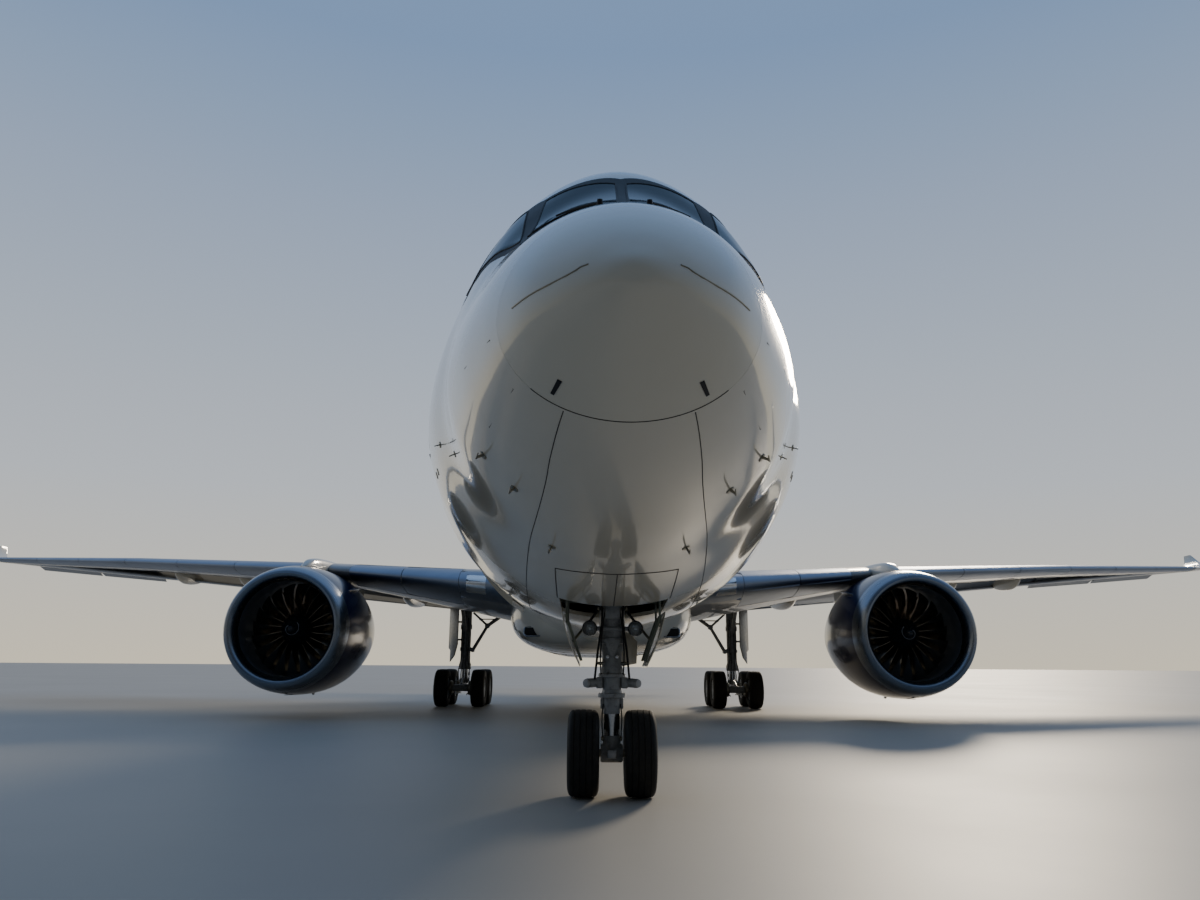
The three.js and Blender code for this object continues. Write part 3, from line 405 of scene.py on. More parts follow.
def rod(start, end, radius, end_radius=None, sides=20, bevel=0.0):
    """A round bar between two points"""
    start, end = Vector(start), Vector(end)
    along = end - start
    place = Matrix.Translation((start + end) / 2) @ along.to_track_quat("Z", "Y").to_matrix().to_4x4()
    mesh = bmesh.new()
    bmesh.ops.create_cone(mesh, cap_ends=True, segments=sides, radius1=radius, depth=along.length,
                          radius2=radius if end_radius is None else end_radius, matrix=place)
    if bevel:
        rims = [edge for edge in mesh.edges if any(len(face.verts) > 4 for face in edge.link_faces)]
        softened(mesh, rims, bevel)
    return mesh


def block(low, high, bevel=0.0):
    """A box between two corners"""
    low, high = Vector(low), Vector(high)
    mesh = bmesh.new()
    place = Matrix.Translation((low + high) / 2) @ Matrix.Diagonal((*(high - low), 1))
    bmesh.ops.create_cube(mesh, size=1, matrix=place)
    return softened(mesh, list(mesh.edges), bevel) if bevel else mesh


def turned(outline, centre, axis=Y, sides=64, closed=False):
    """An outline of distances along an axis and radii, spun once round it"""
    mesh = bmesh.new()
    verts = [mesh.verts.new((radius, 0, along)) for along, radius in outline]
    ends = verts[1:] + verts[:1] if closed else verts[1:]
    edges = [mesh.edges.new(pair) for pair in zip(verts, ends)]
    bmesh.ops.spin(mesh, geom=verts + edges, cent=(0, 0, 0), axis=(0, 0, 1), angle=2 * pi, steps=sides,
                   use_merge=True)
    bmesh.ops.remove_doubles(mesh, verts=mesh.verts, dist=MERGE)
    turn = Vector(axis).to_track_quat("Z", "Y").to_matrix().to_4x4()
    bmesh.ops.transform(mesh, matrix=Matrix.Translation(centre) @ turn, verts=mesh.verts)
    return mesh


def curved(points, steps=5):
    """A smooth path through every point"""
    points = [Vector(point) for point in points]
    ahead = [(b - a).normalized() for a, b in zip(points, points[1:])]
    tangents = [ahead[0]] + [(a + b).normalized() for a, b in zip(ahead, ahead[1:])] + [ahead[-1]]
    path = []
    for i in range(len(points) - 1):
        reach = (points[i + 1] - points[i]).length / 3
        handles = points[i] + tangents[i] * reach, points[i + 1] - tangents[i + 1] * reach
        path += geometry.interpolate_bezier(points[i], *handles, points[i + 1], steps + 1)[:-1]
    return path + [points[-1]]


def pipe(points, radius, sides=10):
    """A tube along a path, its ring carried along without a twist"""
    points = [Vector(point) for point in points]
    last = len(points) - 1
    frames = []
    across = None
    for i, point in enumerate(points):
        along = (points[min(i + 1, last)] - points[max(i - 1, 0)]).normalized()
        across = along.orthogonal() if across is None else across - along * across.dot(along)
        across.normalize()
        frames.append((point, across, along.cross(across)))

    def place(u, v):
        point, first, second = frames[round(u * last)]
        a, b = circle(v)
        return point + radius * (first * a + second * b)
    return sealed(sheet(last, sides, place))


def plate(outline, depth, bevel=0.0):
    """A flat outline pushed out by a vector"""
    mesh = bmesh.new()
    face = mesh.faces.new([mesh.verts.new(point) for point in outline])
    pushed = bmesh.ops.extrude_face_region(mesh, geom=[face])["geom"]
    far = [item for item in pushed if isinstance(item, bmesh.types.BMVert)]
    bmesh.ops.translate(mesh, vec=depth, verts=far)
    return softened(mesh, list(mesh.edges), bevel) if bevel else mesh


def bolts(centre, axis, ring, size, count=12):
    """A ring of hexagon heads round a centre"""
    axis = Vector(axis).normalized()
    turn = axis.to_track_quat("Z", "Y")
    heads = []
    for i in range(count):
        foot = Vector(centre) + turn @ Vector((*circle(i / count), 0)) * ring
        heads.append(rod(foot, foot + axis * size, size * 0.8, sides=6))
    return heads


# %% [markdown]
# ## From loose shapes to a piece
#
# A visible piece joins shapes of several materials in one mesh, which keeps the object list short. The
# shapes are merged through a scratch mesh, halved onto the model, given smooth faces with sharp edges
# kept, and hung on the body that carries them. A right-hand piece is its left twin, mirrored.

# %% Make pieces
def piece(name, body, parts, replaces=(), side="left", wall=0.0, sharp=32):
    """One object from a dict of material to shapes, riding on a body and standing for CAD nodes"""
    whole = bmesh.new()
    scratch = bpy.data.meshes.new("scratch")
    for index, shapes in enumerate(parts.values()):
        for shape in shapes:
            bmesh.ops.recalc_face_normals(shape, faces=shape.faces)
            if wall:
                walled(shape, wall)
            for face in shape.faces:
                face.material_index = index
                face.smooth = True
            shape.to_mesh(scratch)
            whole.from_mesh(scratch)
            shape.free()
    bpy.data.meshes.remove(scratch)
    bmesh.ops.transform(whole, matrix=TO_MODEL, verts=whole.verts)
    if side == "right":
        bmesh.ops.scale(whole, vec=(-1, 1, 1), verts=whole.verts)
        bmesh.ops.reverse_faces(whole, faces=whole.faces)
    data = bpy.data.meshes.new(name)
    whole.to_mesh(data)
    whole.free()
    data.set_sharp_from_angle(angle=radians(sharp))
    for material in parts:
        data.materials.append(material)
    thing = in_scene(name, data)
    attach(thing, body)
    if replaces:
        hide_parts(*replaces)
    slot = SLOT_OF.get(next(iter(parts)))
    print(name, len(data.polygons), "faces")


def pair(name, body, make, replaces=(), **options):
    """The same piece for both sides; body and nodes without a side of their own get one"""
    for side in ("left", "right"):
        rider = body if body == "airframe" else side + "_" + body
        nodes = [side + "_" + node for node in replaces]
        piece(side + "_" + name, rider, make(), nodes, side, **options)


# %% [markdown]
# ## The hull as one formula
#
# A pressure cabin is round because that shape holds air best, and the nose blends a droop, a windscreen
# and a radome into it. Ten or so frames fix the outline. Between them each measure follows a curve that
# never overshoots, along the square root of the distance, because a nose changes fastest at its tip.

# %% The hull's frames
CENTRE_RISE = 0.0075
RADOME_END = 0.95
CONE_START = 61.2

# y; top, bottom, half width and widest height from the centre line; roundness of the upper half
FRAMES = [(0.00, -0.88, -0.96, 0.04, -0.92, 2.00), (0.08, -0.71, -1.10, 0.27, -0.92, 2.00),
          (0.25, -0.50, -1.26, 0.49, -0.92, 2.00), (0.55, -0.23, -1.45, 0.75, -0.91, 2.00),
          (0.95, 0.06, -1.64, 0.97, -0.88, 1.96), (1.50, 0.38, -1.84, 1.20, -0.82, 1.90),
          (2.00, 0.62, -1.99, 1.38, -0.77, 1.80), (2.50, 0.93, -2.12, 1.53, -0.72, 1.73),
          (3.00, 1.30, -2.24, 1.66, -0.67, 1.68), (3.50, 1.77, -2.34, 1.75, -0.60, 1.78),
          (4.00, 2.09, -2.42, 1.85, -0.53, 1.88), (5.00, 2.42, -2.57, 2.16, -0.44, 1.80),
          (6.00, 2.62, -2.69, 2.38, -0.34, 1.86), (7.20, 2.73, -2.78, 2.54, -0.22, 1.90),
          (8.60, 2.80, -2.82, 2.73, -0.10, 1.97), (10.0, 2.82, -2.82, 2.82, 0.00, 2.00),
          (42.5, 2.82, -2.82, 2.82, 0.00, 2.00), (46.0, 2.82, -2.46, 2.76, 0.10, 2.00),
          (49.0, 2.81, -1.92, 2.58, 0.35, 2.00), (52.0, 2.76, -1.28, 2.22, 0.66, 2.00),
          (55.0, 2.62, -0.58, 1.74, 0.98, 2.00), (58.0, 2.38, 0.14, 1.20, 1.28, 2.00),
          (61.2, 2.04, 0.84, 0.66, 1.44, 2.00), (63.1, 1.80, 1.20, 0.34, 1.50, 2.00),
          (63.66, 1.68, 1.34, 0.20, 1.51, 2.00)]


def through(keys, values):
    """A curve through points that stays between its neighbours"""
    steps = [(b - a) / (k - j) for j, k, a, b in zip(keys, keys[1:], values, values[1:])]
    inner = [0 if a * b <= 0 else 2 * a * b / (a + b) for a, b in zip(steps, steps[1:])]
    slopes = [steps[0]] + inner + [steps[-1]]

    def value(key):
        at = min(max(bisect_right(keys, key) - 1, 0), len(steps) - 1)
        width = keys[at + 1] - keys[at]
        part = (key - keys[at]) / width
        rise = part * part * (3 - 2 * part)
        swing = (1 - part) * slopes[at] - part * slopes[at + 1]
        return values[at] * (1 - rise) + values[at + 1] * rise + width * part * (1 - part) * swing
    return value


def table(rows, key=lambda value: value):
    """Curves through the columns of a table, against its first column"""
    keys = [key(row[0]) for row in rows]
    columns = [through(keys, [row[i] for row in rows]) for i in range(1, len(rows[0]))]
    return lambda at: [column(key(at)) for column in columns]


hull_frame = lru_cache(maxsize=None)(table(FRAMES, sqrt))


def centre_at(y):
    return CENTRE_Z + CENTRE_RISE * y


def oval(turn, top, bottom, half, wide, power=2.0, lower=2.0, out=0.0):
    """Across and up on an oval; turn is 0 at the top, grows to the left and may be negative"""
    upper = cos(turn) > 0
    bend = 2 / (power if upper else lower)
    reach = (top - wide if upper else wide - bottom) + out
    return (half + out) * bent(sin(turn), bend), wide + reach * bent(cos(turn), bend)


def hull(turn, y, out=0.0):
    """A point of the hull, out metres outside its skin"""
    across, up = oval(turn, *hull_frame(y), out=out)
    return Vector((across, y, centre_at(y) + up))


def turn_at(y, height=None, across=None, low=False):
    """The turn of the hull's left side at a height from the centre line, or at a distance across"""
    top, bottom, half, wide, power = hull_frame(y)
    if height is None:
        part = asin(min(across / half, 1) ** (1 if low else power / 2))
        return pi - part if low else part
    above = height > wide
    reach = top - wide if above else wide - bottom
    share = min(abs(height - wide) / reach, 1) ** (power / 2 if above else 1)
    return acos(share if above else -share)


def around(y, degrees):
    """The turn that lies so many degrees round the widest point's height, seen from ahead"""
    top, bottom, half, wide, power = hull_frame(y)
    angle = radians(degrees)
    upper = cos(angle) > 0
    reach, bend = (top - wide, 2 / power) if upper else (wide - bottom, 1)
    across, up = abs(sin(angle) / half) ** (1 / bend), abs(cos(angle) / reach) ** (1 / bend)
    return atan2(copysign(across, sin(angle)), up if upper else -up)


def hull_out(turn, y):
    """Straight out of the hull"""
    step = 0.01
    along = hull(turn, y + step) - hull(turn, y - step)
    round_it = hull(turn + step, y) - hull(turn - step, y)
    return along.cross(round_it).normalized() * -1


print("half width 10 m back:", round(hull(pi / 2, 10).x, 2), "m,", "straight out:", hull_out(pi / 2, 20))

# %% [markdown]
# ## Skins with holes
#
# The skins are drawn as sheets and get their wall when they are made a piece, which also closes the
# rims. The gear bay and the cargo doors are cut out by six planes each, working only on the faces near
# the hole, so that the far side of the hull stays whole.

# %% Hull skins
ROUND = 128
FRAME_STEP = 0.055           # in square roots of metres
SEAM = 0.002
SKIN = 0.05


def barrel(start, end):
    """The open skin of the hull between two places along it"""
    first, last = sqrt(start), sqrt(end)

    def place(u, v):
        return hull((2 * v - 1) * pi, (first + u * (last - first)) ** 2)
    mesh = sheet(round((last - first) / FRAME_STEP), ROUND, place)
    bmesh.ops.remove_doubles(mesh, verts=mesh.verts, dist=MERGE)
    return mesh


def cut_hole(mesh, low, high, reach=1.0):
    """Opens the skin inside a box"""
    low, high = Vector(low), Vector(high)

    def inside(face, margin):
        middle = face.calc_center_median()
        return all(low[i] - margin < middle[i] < high[i] + margin for i in range(3))
    for axis in range(3):
        for corner in (low, high):
            near = [face for face in mesh.faces if inside(face, reach)]
            geom = near + list({edge for face in near for edge in face.edges})
            geom += list({vert for face in near for vert in face.verts})
            normal = [0, 0, 0]
            normal[axis] = 1
            bmesh.ops.bisect_plane(mesh, geom=geom, plane_co=corner, plane_no=normal, dist=0.0001)
    bmesh.ops.delete(mesh, geom=[face for face in mesh.faces if inside(face, 0)], context="FACES")
    return mesh


NOSE_BAY = {"front": 5.82, "back": 6.97, "half": 0.66, "top": 3.45}
CARGO_DOORS = {"front": (11.6, 14.3), "back": (43.2, 45.9)}
CARGO_LOW = -2.25
CARGO_HIGH = -0.55


def cargo_box(ends, margin=0.0):
    """The corners of a cargo door's opening on the right side"""
    middle = centre_at(sum(ends) / 2)
    low = (-HULL_RADIUS - 1, ends[0] - margin, middle + CARGO_LOW - margin)
    return low, (-0.9, ends[1] + margin, middle + CARGO_HIGH + margin)


hull_skin = barrel(RADOME_END + SEAM, CONE_START)
cut_hole(hull_skin, (-NOSE_BAY["half"], NOSE_BAY["front"], 1), (NOSE_BAY["half"], NOSE_BAY["back"], 3))
for ends in CARGO_DOORS.values():
    cut_hole(hull_skin, *cargo_box(ends))

piece("radome_shell", "airframe", {radome_paint: [sealed(barrel(0, RADOME_END))]}, ["radome"], sharp=60)
piece("hull_skin", "airframe", {cream_topcoat: [hull_skin]}, ["nose_section", "fuselage"], wall=SKIN,
      sharp=40)

# %% [markdown]
# ## The windscreen
#
# Six flat-looking panes sit in a black surround that hides their frames. Each pane is a four-cornered
# piece of the hull's own surface, given by corners on the hull, so it follows the curve and meets its
# neighbours along straight posts. The surround is the same kind of piece, a hand's width larger.

# %% Panes, surround and seals
POST = 0.054                 # from the middle to the edge of a front pane


def corner(y, height=None, across=None):
    return turn_at(y, height, across), y


def between(a, b, part):
    return tuple(first + part * (second - first) for first, second in zip(a, b))


def quad(corners, out, wall, columns=12, rows=10):
    """A four-cornered piece of the hull's surface, its corners given in order round it"""
    first, second, third, fourth = corners
    return walled(sheet(columns, rows, lambda u, v: hull(
        *between(between(first, second, u), between(fourth, third, u), v), out)), wall)


def border(corners, out, steps=8):
    """The outline of such a piece, closed"""
    sides = zip(corners, corners[1:] + corners[:1])
    ring = [hull(*between(a, b, i / steps), out) for a, b in sides for i in range(steps)]
    return ring + ring[:1]


PANES = [
    [corner(2.10, across=POST), corner(2.74, 0.66), corner(3.53, across=0.78), corner(3.20, across=POST)],
    [corner(2.92, 0.69), corner(3.97, 0.74), corner(4.14, 1.36), corner(3.78, 1.47)],
    [corner(4.06, 0.75), corner(4.50, 0.78), corner(4.36, 1.20), corner(4.20, 1.31)],
]
SURROUND = [
    [corner(1.98, across=0), corner(2.72, 0.57), corner(3.67, across=0.81), corner(3.335, across=0)],
    [corner(2.72, 0.57), corner(4.02, 0.66), corner(4.19, 1.46), corner(3.67, across=0.81)],
    [corner(4.02, 0.66), corner(4.64, 0.69), corner(4.45, 1.28), corner(4.19, 1.46)],
]
SEAL = 0.011


def cockpit():
    return {cockpit_glass: [quad(pane, 0.010, 0.008) for pane in PANES],
            black_paint_and_shade: [quad(panel, 0.004, 0.004) for panel in SURROUND],
            black_rubber: [pipe(border(pane, 0.006), SEAL, 6) for pane in PANES]}


pair("windscreen", "airframe", cockpit, ["cockpit_glass"], sharp=40)

# %% [markdown]
# ## Wipers
#
# Each front pane has a wiper parked along its lower edge: a motor boss, an arm that presses a blade,
# and the blade's rubber. Short pipes and blocks are enough at this size.

# %% Wipers
def trace(a, b, out, steps=6):
    """Points over the hull from one place to another"""
    return [hull(*between(a, b, i / steps), out) for i in range(steps + 1)]


def wiper():
    foot = corner(2.00, across=0.22)
    boss = hull(*foot)
    return {black_paint_and_shade: [pipe(trace(foot, corner(2.40, across=0.60), 0.05), 0.010, 8),
                         pipe(trace(corner(2.24, across=0.20), corner(2.60, across=0.84), 0.022), 0.009, 6),
                         rod(boss, boss + Vector((0, -0.02, 0.07)), 0.03, 0.024, 16, 0.004)]}


pair("wiper", "airframe", wiper)

# %% [markdown]
# ## Cabin windows
#
# Some eighty small windows a side sit one frame apart, 533 millimetres, and stop at the doors. The
# outer pane is flush acrylic in a metal retainer. One window is a rounded outline laid on the hull: a
# thin ring and a pane just above the skin, repeated by a loop and joined in one mesh.

# %% Windows in a row
PITCH = 0.533
WINDOW_HEIGHT = 0.58
WINDOW_HALF = (0.135, 0.195)
PORTHOLE_HALF = (0.08, 0.12)
WINDOWS = (8.1, 53.4)
DOORS = [(6.36, 7.43), (18.55, 19.62), (39.30, 40.05), (50.75, 51.82)]
DOOR_LOW = -0.62
DOOR_HIGH = 1.30
DOOR_CLEAR = 0.35            # between a door and the middle of the nearest window
HANDLE = (0.26, 0.12)        # ahead of a door's rear edge, and height


def rounded(y, height, half, out, steps=16, power=3.4):
    """Points over the hull round a rounded rectangle about a place on the left side"""
    ring = []
    for i in range(steps + 1):
        ahead, up = (size * bent(part, 2 / power) for size, part in zip(half, circle(i / steps)))
        ring.append(hull(turn_at(y + ahead, height + up), y + ahead, out))
    return ring


def pane(ring):
    """One face over a ring of points"""
    mesh = bmesh.new()
    mesh.faces.new([mesh.verts.new(point) for point in ring[:-1]])
    return mesh


def windows():
    places = [WINDOWS[0] + i * PITCH for i in range(86)]
    rows = [(y, WINDOW_HALF) for y in places if y < WINDOWS[1]
            and not any(low - DOOR_CLEAR < y < high + DOOR_CLEAR for low, high in DOORS)]
    rows += [((low + high) / 2, PORTHOLE_HALF) for low, high in DOORS]
    return {cabin_pane: [pane(rounded(y, WINDOW_HEIGHT, half, 0.006)) for y, half in rows],
            rim_enamel: [pipe(rounded(y, WINDOW_HEIGHT, half, 0.004), 0.013, 4) for y, half in rows]}


pair("cabin_windows", "airframe", windows, sharp=50)

# %% [markdown]
# ## Doors of the cabin
#
# Plug doors close flush, so what shows is a dark line with round corners, a recessed handle and a
# scuffed sill. The line is a seal: a thin pipe sunk in the skin along the outline.

# %% Passenger doors
DOOR_SEAL = 0.009


def cabin_doors():
    seals, bright = [], []
    for low, high in DOORS:
        half = ((high - low) / 2, (DOOR_HIGH - DOOR_LOW) / 2)
        outline = rounded((low + high) / 2, (DOOR_HIGH + DOOR_LOW) / 2, half, 0.001, 64, 9)
        place = high - HANDLE[0], HANDLE[1]
        grip, sill = turn_at(*place), turn_at(low + 0.1, DOOR_LOW - 0.05)
        recess = rounded(*place, (0.13, 0.05), 0.001, 20, 4)
        seals += [pipe(outline, DOOR_SEAL, 6), pipe(recess, 0.006, 5)]
        bright += [pipe(trace((grip, high - 0.35), (grip, high - 0.17), 0.014), 0.012),
                   pipe(trace((sill, low + 0.1), (sill, high - 0.1), 0.006), 0.016, 6)]
    return {seam_shadow: seals, rim_enamel: bright}


pair("cabin_doors", "airframe", cabin_doors, sharp=50)
print("door height", round(DOOR_HIGH - DOOR_LOW, 2), "m")

# %% [markdown]
# ## Cargo doors
#
# The two big doors under the floor open outwards on a hinge along their top edge. Each is the very
# patch of skin that the hull lacks, a finger's width smaller and as deep as the frames, with a latch
# row along the bottom. Behind it the hull has a lined recess, because the hold itself isn't modelled.

# %% Cargo doors and their recesses
DOOR_GAP = 0.014
HINGE_GAP = 0.038            # at the top, where the edge swings in past its straight hinge
DOOR_DEPTH = 0.13
LINING = 0.22                # from a door's edges to its inner lining
RECESS, RECESS_DEPTH = 0.10, 0.24


def level_at(ends, y, level):
    """A level of a cargo door's own, as a height from the centre line at y"""
    return centre_at(sum(ends) / 2) - centre_at(y) + level


def cargo_patch(ends, margin, top, out, wall):
    """A patch with a cargo door's outline, made on the left side for piece to mirror"""
    def place(u, v):
        y = ends[0] + margin + u * (ends[1] - ends[0] - 2 * margin)
        levels = CARGO_HIGH - top, CARGO_LOW + margin
        high, low = (turn_at(y, level_at(ends, y, level)) for level in levels)
        return hull(high + v * (low - high), y, out)
    return walled(sheet(24, 14, place), wall)


def latches(ends):
    places = [ends[0] + 0.3 + i * (ends[1] - ends[0] - 0.6) / 6 for i in range(7)]
    return [pipe(rounded(y, level_at(ends, y, CARGO_LOW + 0.16), (0.05, 0.035), 0.001, 12, 3), 0.005, 4)
            for y in places]


for name, ends in CARGO_DOORS.items():
    panel = {cream_topcoat: [cargo_patch(ends, DOOR_GAP, HINGE_GAP, 0, DOOR_DEPTH)],
             bay_primer: [cargo_patch(ends, LINING, LINING, 0.001 - DOOR_DEPTH, 0.006)],
             seam_shadow: latches(ends)}
    recess = {bay_primer: [cargo_patch(ends, -RECESS, -RECESS, -RECESS_DEPTH, 0.02)]}
    door = name + "_cargo_door"
    piece(door + "_panel", door, panel, [door], "right", sharp=40)
    piece(name + "_cargo_recess", "airframe", recess, side="right", sharp=40)

# %% [markdown]
# ## Lines and small parts of the nose
#
# Up close a nose is full of small things: the radome's seam, strips that lead lightning away, access
# panels, and probes that feel air speed, angle and temperature. Their places were read off the
# photograph and put on the hull, as distances along it and turns round it in degrees.

# %% Seams and strips on the nose
SEAM_LINE = 0.0045
STRIP = 0.006


def along_hull(marks, out=0.0, steps=4):
    """A smooth line over the hull through places given as distance along and degrees round"""
    flat = curved([(y, turn, 0) for y, turn in marks], steps)
    return [hull(around(point[0], point[1]), point[0], out) for point in flat]


RADOME_SEAM = [(RADOME_END + SEAM / 2, degrees) for degrees in range(126, 181, 6)]
PANEL = [(0.98, 145), (1.67, 148), (2.37, 150), (3.49, 150.5), (5.0, 152), (6.8, 153.5), (9.9, 154)]
HATCH = [(1.12, 96), (1.12, 120), (1.9, 121), (1.9, 97), (1.12, 96)]
LIGHTNING_STRIP = [(0.12, 69), (0.31, 84), (0.50, 87), (0.69, 89)]
TICK = [(0.70, 134.6), (0.70, 137.4), (0.86, 137.2), (0.86, 135.2)]


def nose_lines():
    return {seam_shadow: [pipe(along_hull(RADOME_SEAM), SEAM_LINE, 6), pipe(along_hull(PANEL), SEAM_LINE, 6),
                          pipe([hull(around(y, degrees), y) for y, degrees in HATCH], 0.003, 5)],
            steel: [pipe(along_hull(LIGHTNING_STRIP, 0.001), STRIP, 6)],
            black_paint_and_shade: [quad([(around(y, degrees), y) for y, degrees in TICK], 0.003, 0.003, 4, 4)]}


pair("nose_lines", "airframe", nose_lines, sharp=50)

# %% [markdown]
# ## Probes and antennas
#
# A pitot probe is a heated tube on a swept mast. It stands clear of the slow air at the skin and looks
# straight ahead. The angle vane is a small wedge on a disc, and a blade antenna is a thin fin in a
# rubber foot. One function places each of them by a local frame on the hull.

# %% Probes, vanes and blade antennas
def on_skin(y, degrees):
    """A matrix from a local frame on the hull: x back along it, y round it, z straight out"""
    turn = around(y, degrees)
    out = hull_out(turn, y)
    back = (hull(turn, y + 0.01) - hull(turn, y - 0.01)).normalized()
    frame_axes = Matrix((back, out.cross(back), out)).transposed().to_4x4()
    return Matrix.Translation(hull(turn, y)) @ frame_axes


def placed(meshes, matrix):
    for mesh in meshes:
        bmesh.ops.transform(mesh, matrix=matrix, verts=mesh.verts)
    return meshes


def pitot():
    mast = plate([(0.10, -0.012, -0.02), (-0.04, -0.012, 0.13), (0.03, -0.012, 0.15), (0.20, -0.012, -0.02)],
                 (0, 0.024, 0), 0.006)
    tube = turned([(-0.02, 0), (0.0, 0.008), (0.02, 0.011), (0.24, 0.016), (0.26, 0)],
                  (-0.20, 0, 0.142), X, 16)
    return [mast, tube, rod((0.15, 0, -0.01), (0.15, 0, 0.012), 0.07, sides=24, bevel=0.003)]


def vane():
    wedge = plate([(-0.05, -0.006, 0.0), (0.05, -0.006, 0.0), (0.08, -0.006, 0.10), (0.02, -0.006, 0.10)],
                  (0, 0.012, 0), 0.003)
    return [wedge, rod((0, 0, -0.01), (0, 0, 0.010), 0.06, sides=24, bevel=0.003)]


def blade_antenna(length, height):
    outline = [(-0.5, -0.03), (-0.1, height), (0.35, height), (0.5, -0.03)]
    fin = plate([(part * length, -0.012, up) for part, up in outline], (0, 0.024, 0), 0.009)
    return [fin, block((-length * 0.6, -0.04, -0.01), (length * 0.6, 0.04, 0.012), 0.008)]


PITOTS = [(2.40, 124), (2.47, 139.5), (3.48, 158)]
VANES = [(3.9, 112), (4.6, 104)]
STATIC_PORTS = (5.3, 5.55)
PROBE_SIZE = 0.6


def probes():
    parts = []
    for make, spots in ((pitot, PITOTS), (vane, VANES)):
        for spot in spots:
            parts += placed(make(), on_skin(*spot) @ Matrix.Scale(PROBE_SIZE, 4))
    for y in STATIC_PORTS:
        parts += placed([rod((0, 0, -0.004), (0, 0, 0.004), 0.045, bevel=0.001)], on_skin(y, 109))
    return {steel: parts}


pair("probes", "airframe", probes, sharp=40)
# degrees round; distance along, length and height of each
BLADES = {0: [(12.6, 0.34, 0.30), (17.2, 0.30, 0.26), (26.0, 0.40, 0.34), (45.5, 0.34, 0.30)],
          180: [(9.4, 0.26, 0.22), (12.2, 0.30, 0.26), (15.4, 0.34, 0.28), (47.2, 0.30, 0.26)]}
antennas = [mesh for degrees, rows in BLADES.items() for y, *size in rows
            for mesh in placed(blade_antenna(*size), on_skin(y, degrees))]
dome = turned([(0, 0.45), (0.05, 0.43), (0.12, 0.30), (0.16, 0)], (0, 0, 0), Z, 48)
bmesh.ops.scale(dome, vec=(2.1, 1, 1), verts=dome.verts)
piece("antennas", "airframe", {radome_paint: antennas + placed([dome], on_skin(33.0, 0))}, sharp=40)

# %% [markdown]
# ## Beacons
#
# A red strobe turns on the crown and another under the belly. Each is a ribbed red dome on a metal
# foot, turned from an outline.

# %% Beacons
BEACONS = [(30.0, 0), (16.9, 180)]
BEACON_DOME = [(0.0, 0.10), (0.03, 0.10), (0.08, 0.085), (0.12, 0.05), (0.135, 0)]
BEACON_FOOT = [(-0.03, 0), (-0.03, 0.15), (0.0, 0.14), (0.012, 0.11), (0.012, 0)]


def on_both(outline):
    """The same turned shape at each beacon's place"""
    return [placed([turned(outline, (0, 0, 0), Z, 32)], on_skin(*spot))[0] for spot in BEACONS]


piece("beacons", "airframe", {red_lens: on_both(BEACON_DOME), steel: on_both(BEACON_FOOT)}, sharp=40)

# %% [markdown]
# ## The wing as one formula
#
# A wing section is thickest near a third of its chord and comes to a sharp trailing edge. Its twist,
# taper and sweep are a few stations along the span. Every panel of the wing is a sheet rolled over the
# part of the chord that it covers, so slats, flaps and the box between them share the same surface.

# %% Stations of wing, tip, tail and fin
# span; leading edge y and z; chord; thickness over chord; degrees nose up; degrees of outward lean
WING = [(1, 20.13, 3.60, 13.77, 0.125, 1.5, 0), (2.82, 21.30, 3.80, 12.70, 0.120, 0.8, 0),
        (9.40, 25.50, 4.67, 9.10, 0.080, -1.4, 0), (19.2, 32.10, 5.59, 5.85, 0.082, -1.8, 0),
        (29, 38.70, 6.37, 2.65, 0.095, -1.1, 0)]
WINGTIP = [(29, 38.70, 6.37, 2.65, 0.095, -1.1, 5), (29.9, 39.50, 6.46, 2.38, 0.095, -0.8, 8),
           (30.7, 40.52, 6.62, 2.00, 0.090, -0.4, 18), (31.35, 41.66, 6.88, 1.55, 0.090, 0, 32),
           (31.75, 42.66, 7.20, 1.08, 0.090, 0, 46), (31.97, 43.50, 7.60, 0.55, 0.090, 0, 58)]
STABILISER = [(0.30, 53.70, 6.42, 5.55, 0.11, 0, 0), (1.20, 54.30, 6.52, 5.05, 0.11, 0, 0),
              (9.70, 60.10, 7.44, 1.85, 0.10, 0, 0)]
FIN = [(7.50, 49.80, 0, 8.90, 0.12, 0, 0), (8.40, 51.00, 0, 8.10, 0.12, 0, 0),
       (16.6, 58.90, 0, 3.02, 0.11, 0, 0), (16.79, 59.35, 0, 2.45, 0.07, 0, 0)]
EDGE = 0.004                 # half of the blunt trailing edge


def upright(point):
    """A fin is a wing whose span points up"""
    return Vector((point.z, point.y, point.x))


@lru_cache(maxsize=None)
def station(rows, span):
    rows = FOILS[rows]
    at = max(i for i in range(len(rows) - 1) if rows[i][0] <= span or i == 0)
    part = (span - rows[at][0]) / (rows[at + 1][0] - rows[at][0])
    return between(rows[at], rows[at + 1], part)


FOILS = {"wing": WING, "wingtip": WINGTIP, "stabiliser": STABILISER, "fin": FIN}


def half_thickness(part):
    """Of a section whose chord and thickness are 1"""
    bulge = 0.2969 * sqrt(part) - 0.126 * part - 0.3516 * part ** 2
    return 5 * (bulge + 0.2843 * part ** 3 - 0.1036 * part ** 4)


def skin(foil, span, part, side, out=0.0):
    """A point of a wing at a part of its chord; side is 1 above, -1 below and 0 between the skins"""
    _, y, z, chord, ratio, incidence, lean = station(foil, span)
    half = max(half_thickness(part) * ratio * chord, EDGE if part > 0.5 else 0) + out
    tilt, lean = radians(incidence), radians(lean)
    point = Vector((span, y + part * chord * cos(tilt), z - part * chord * sin(tilt)))
    point += Vector((-sin(lean), 0, cos(lean))) * side * half
    return upright(point) if foil == "fin" else point


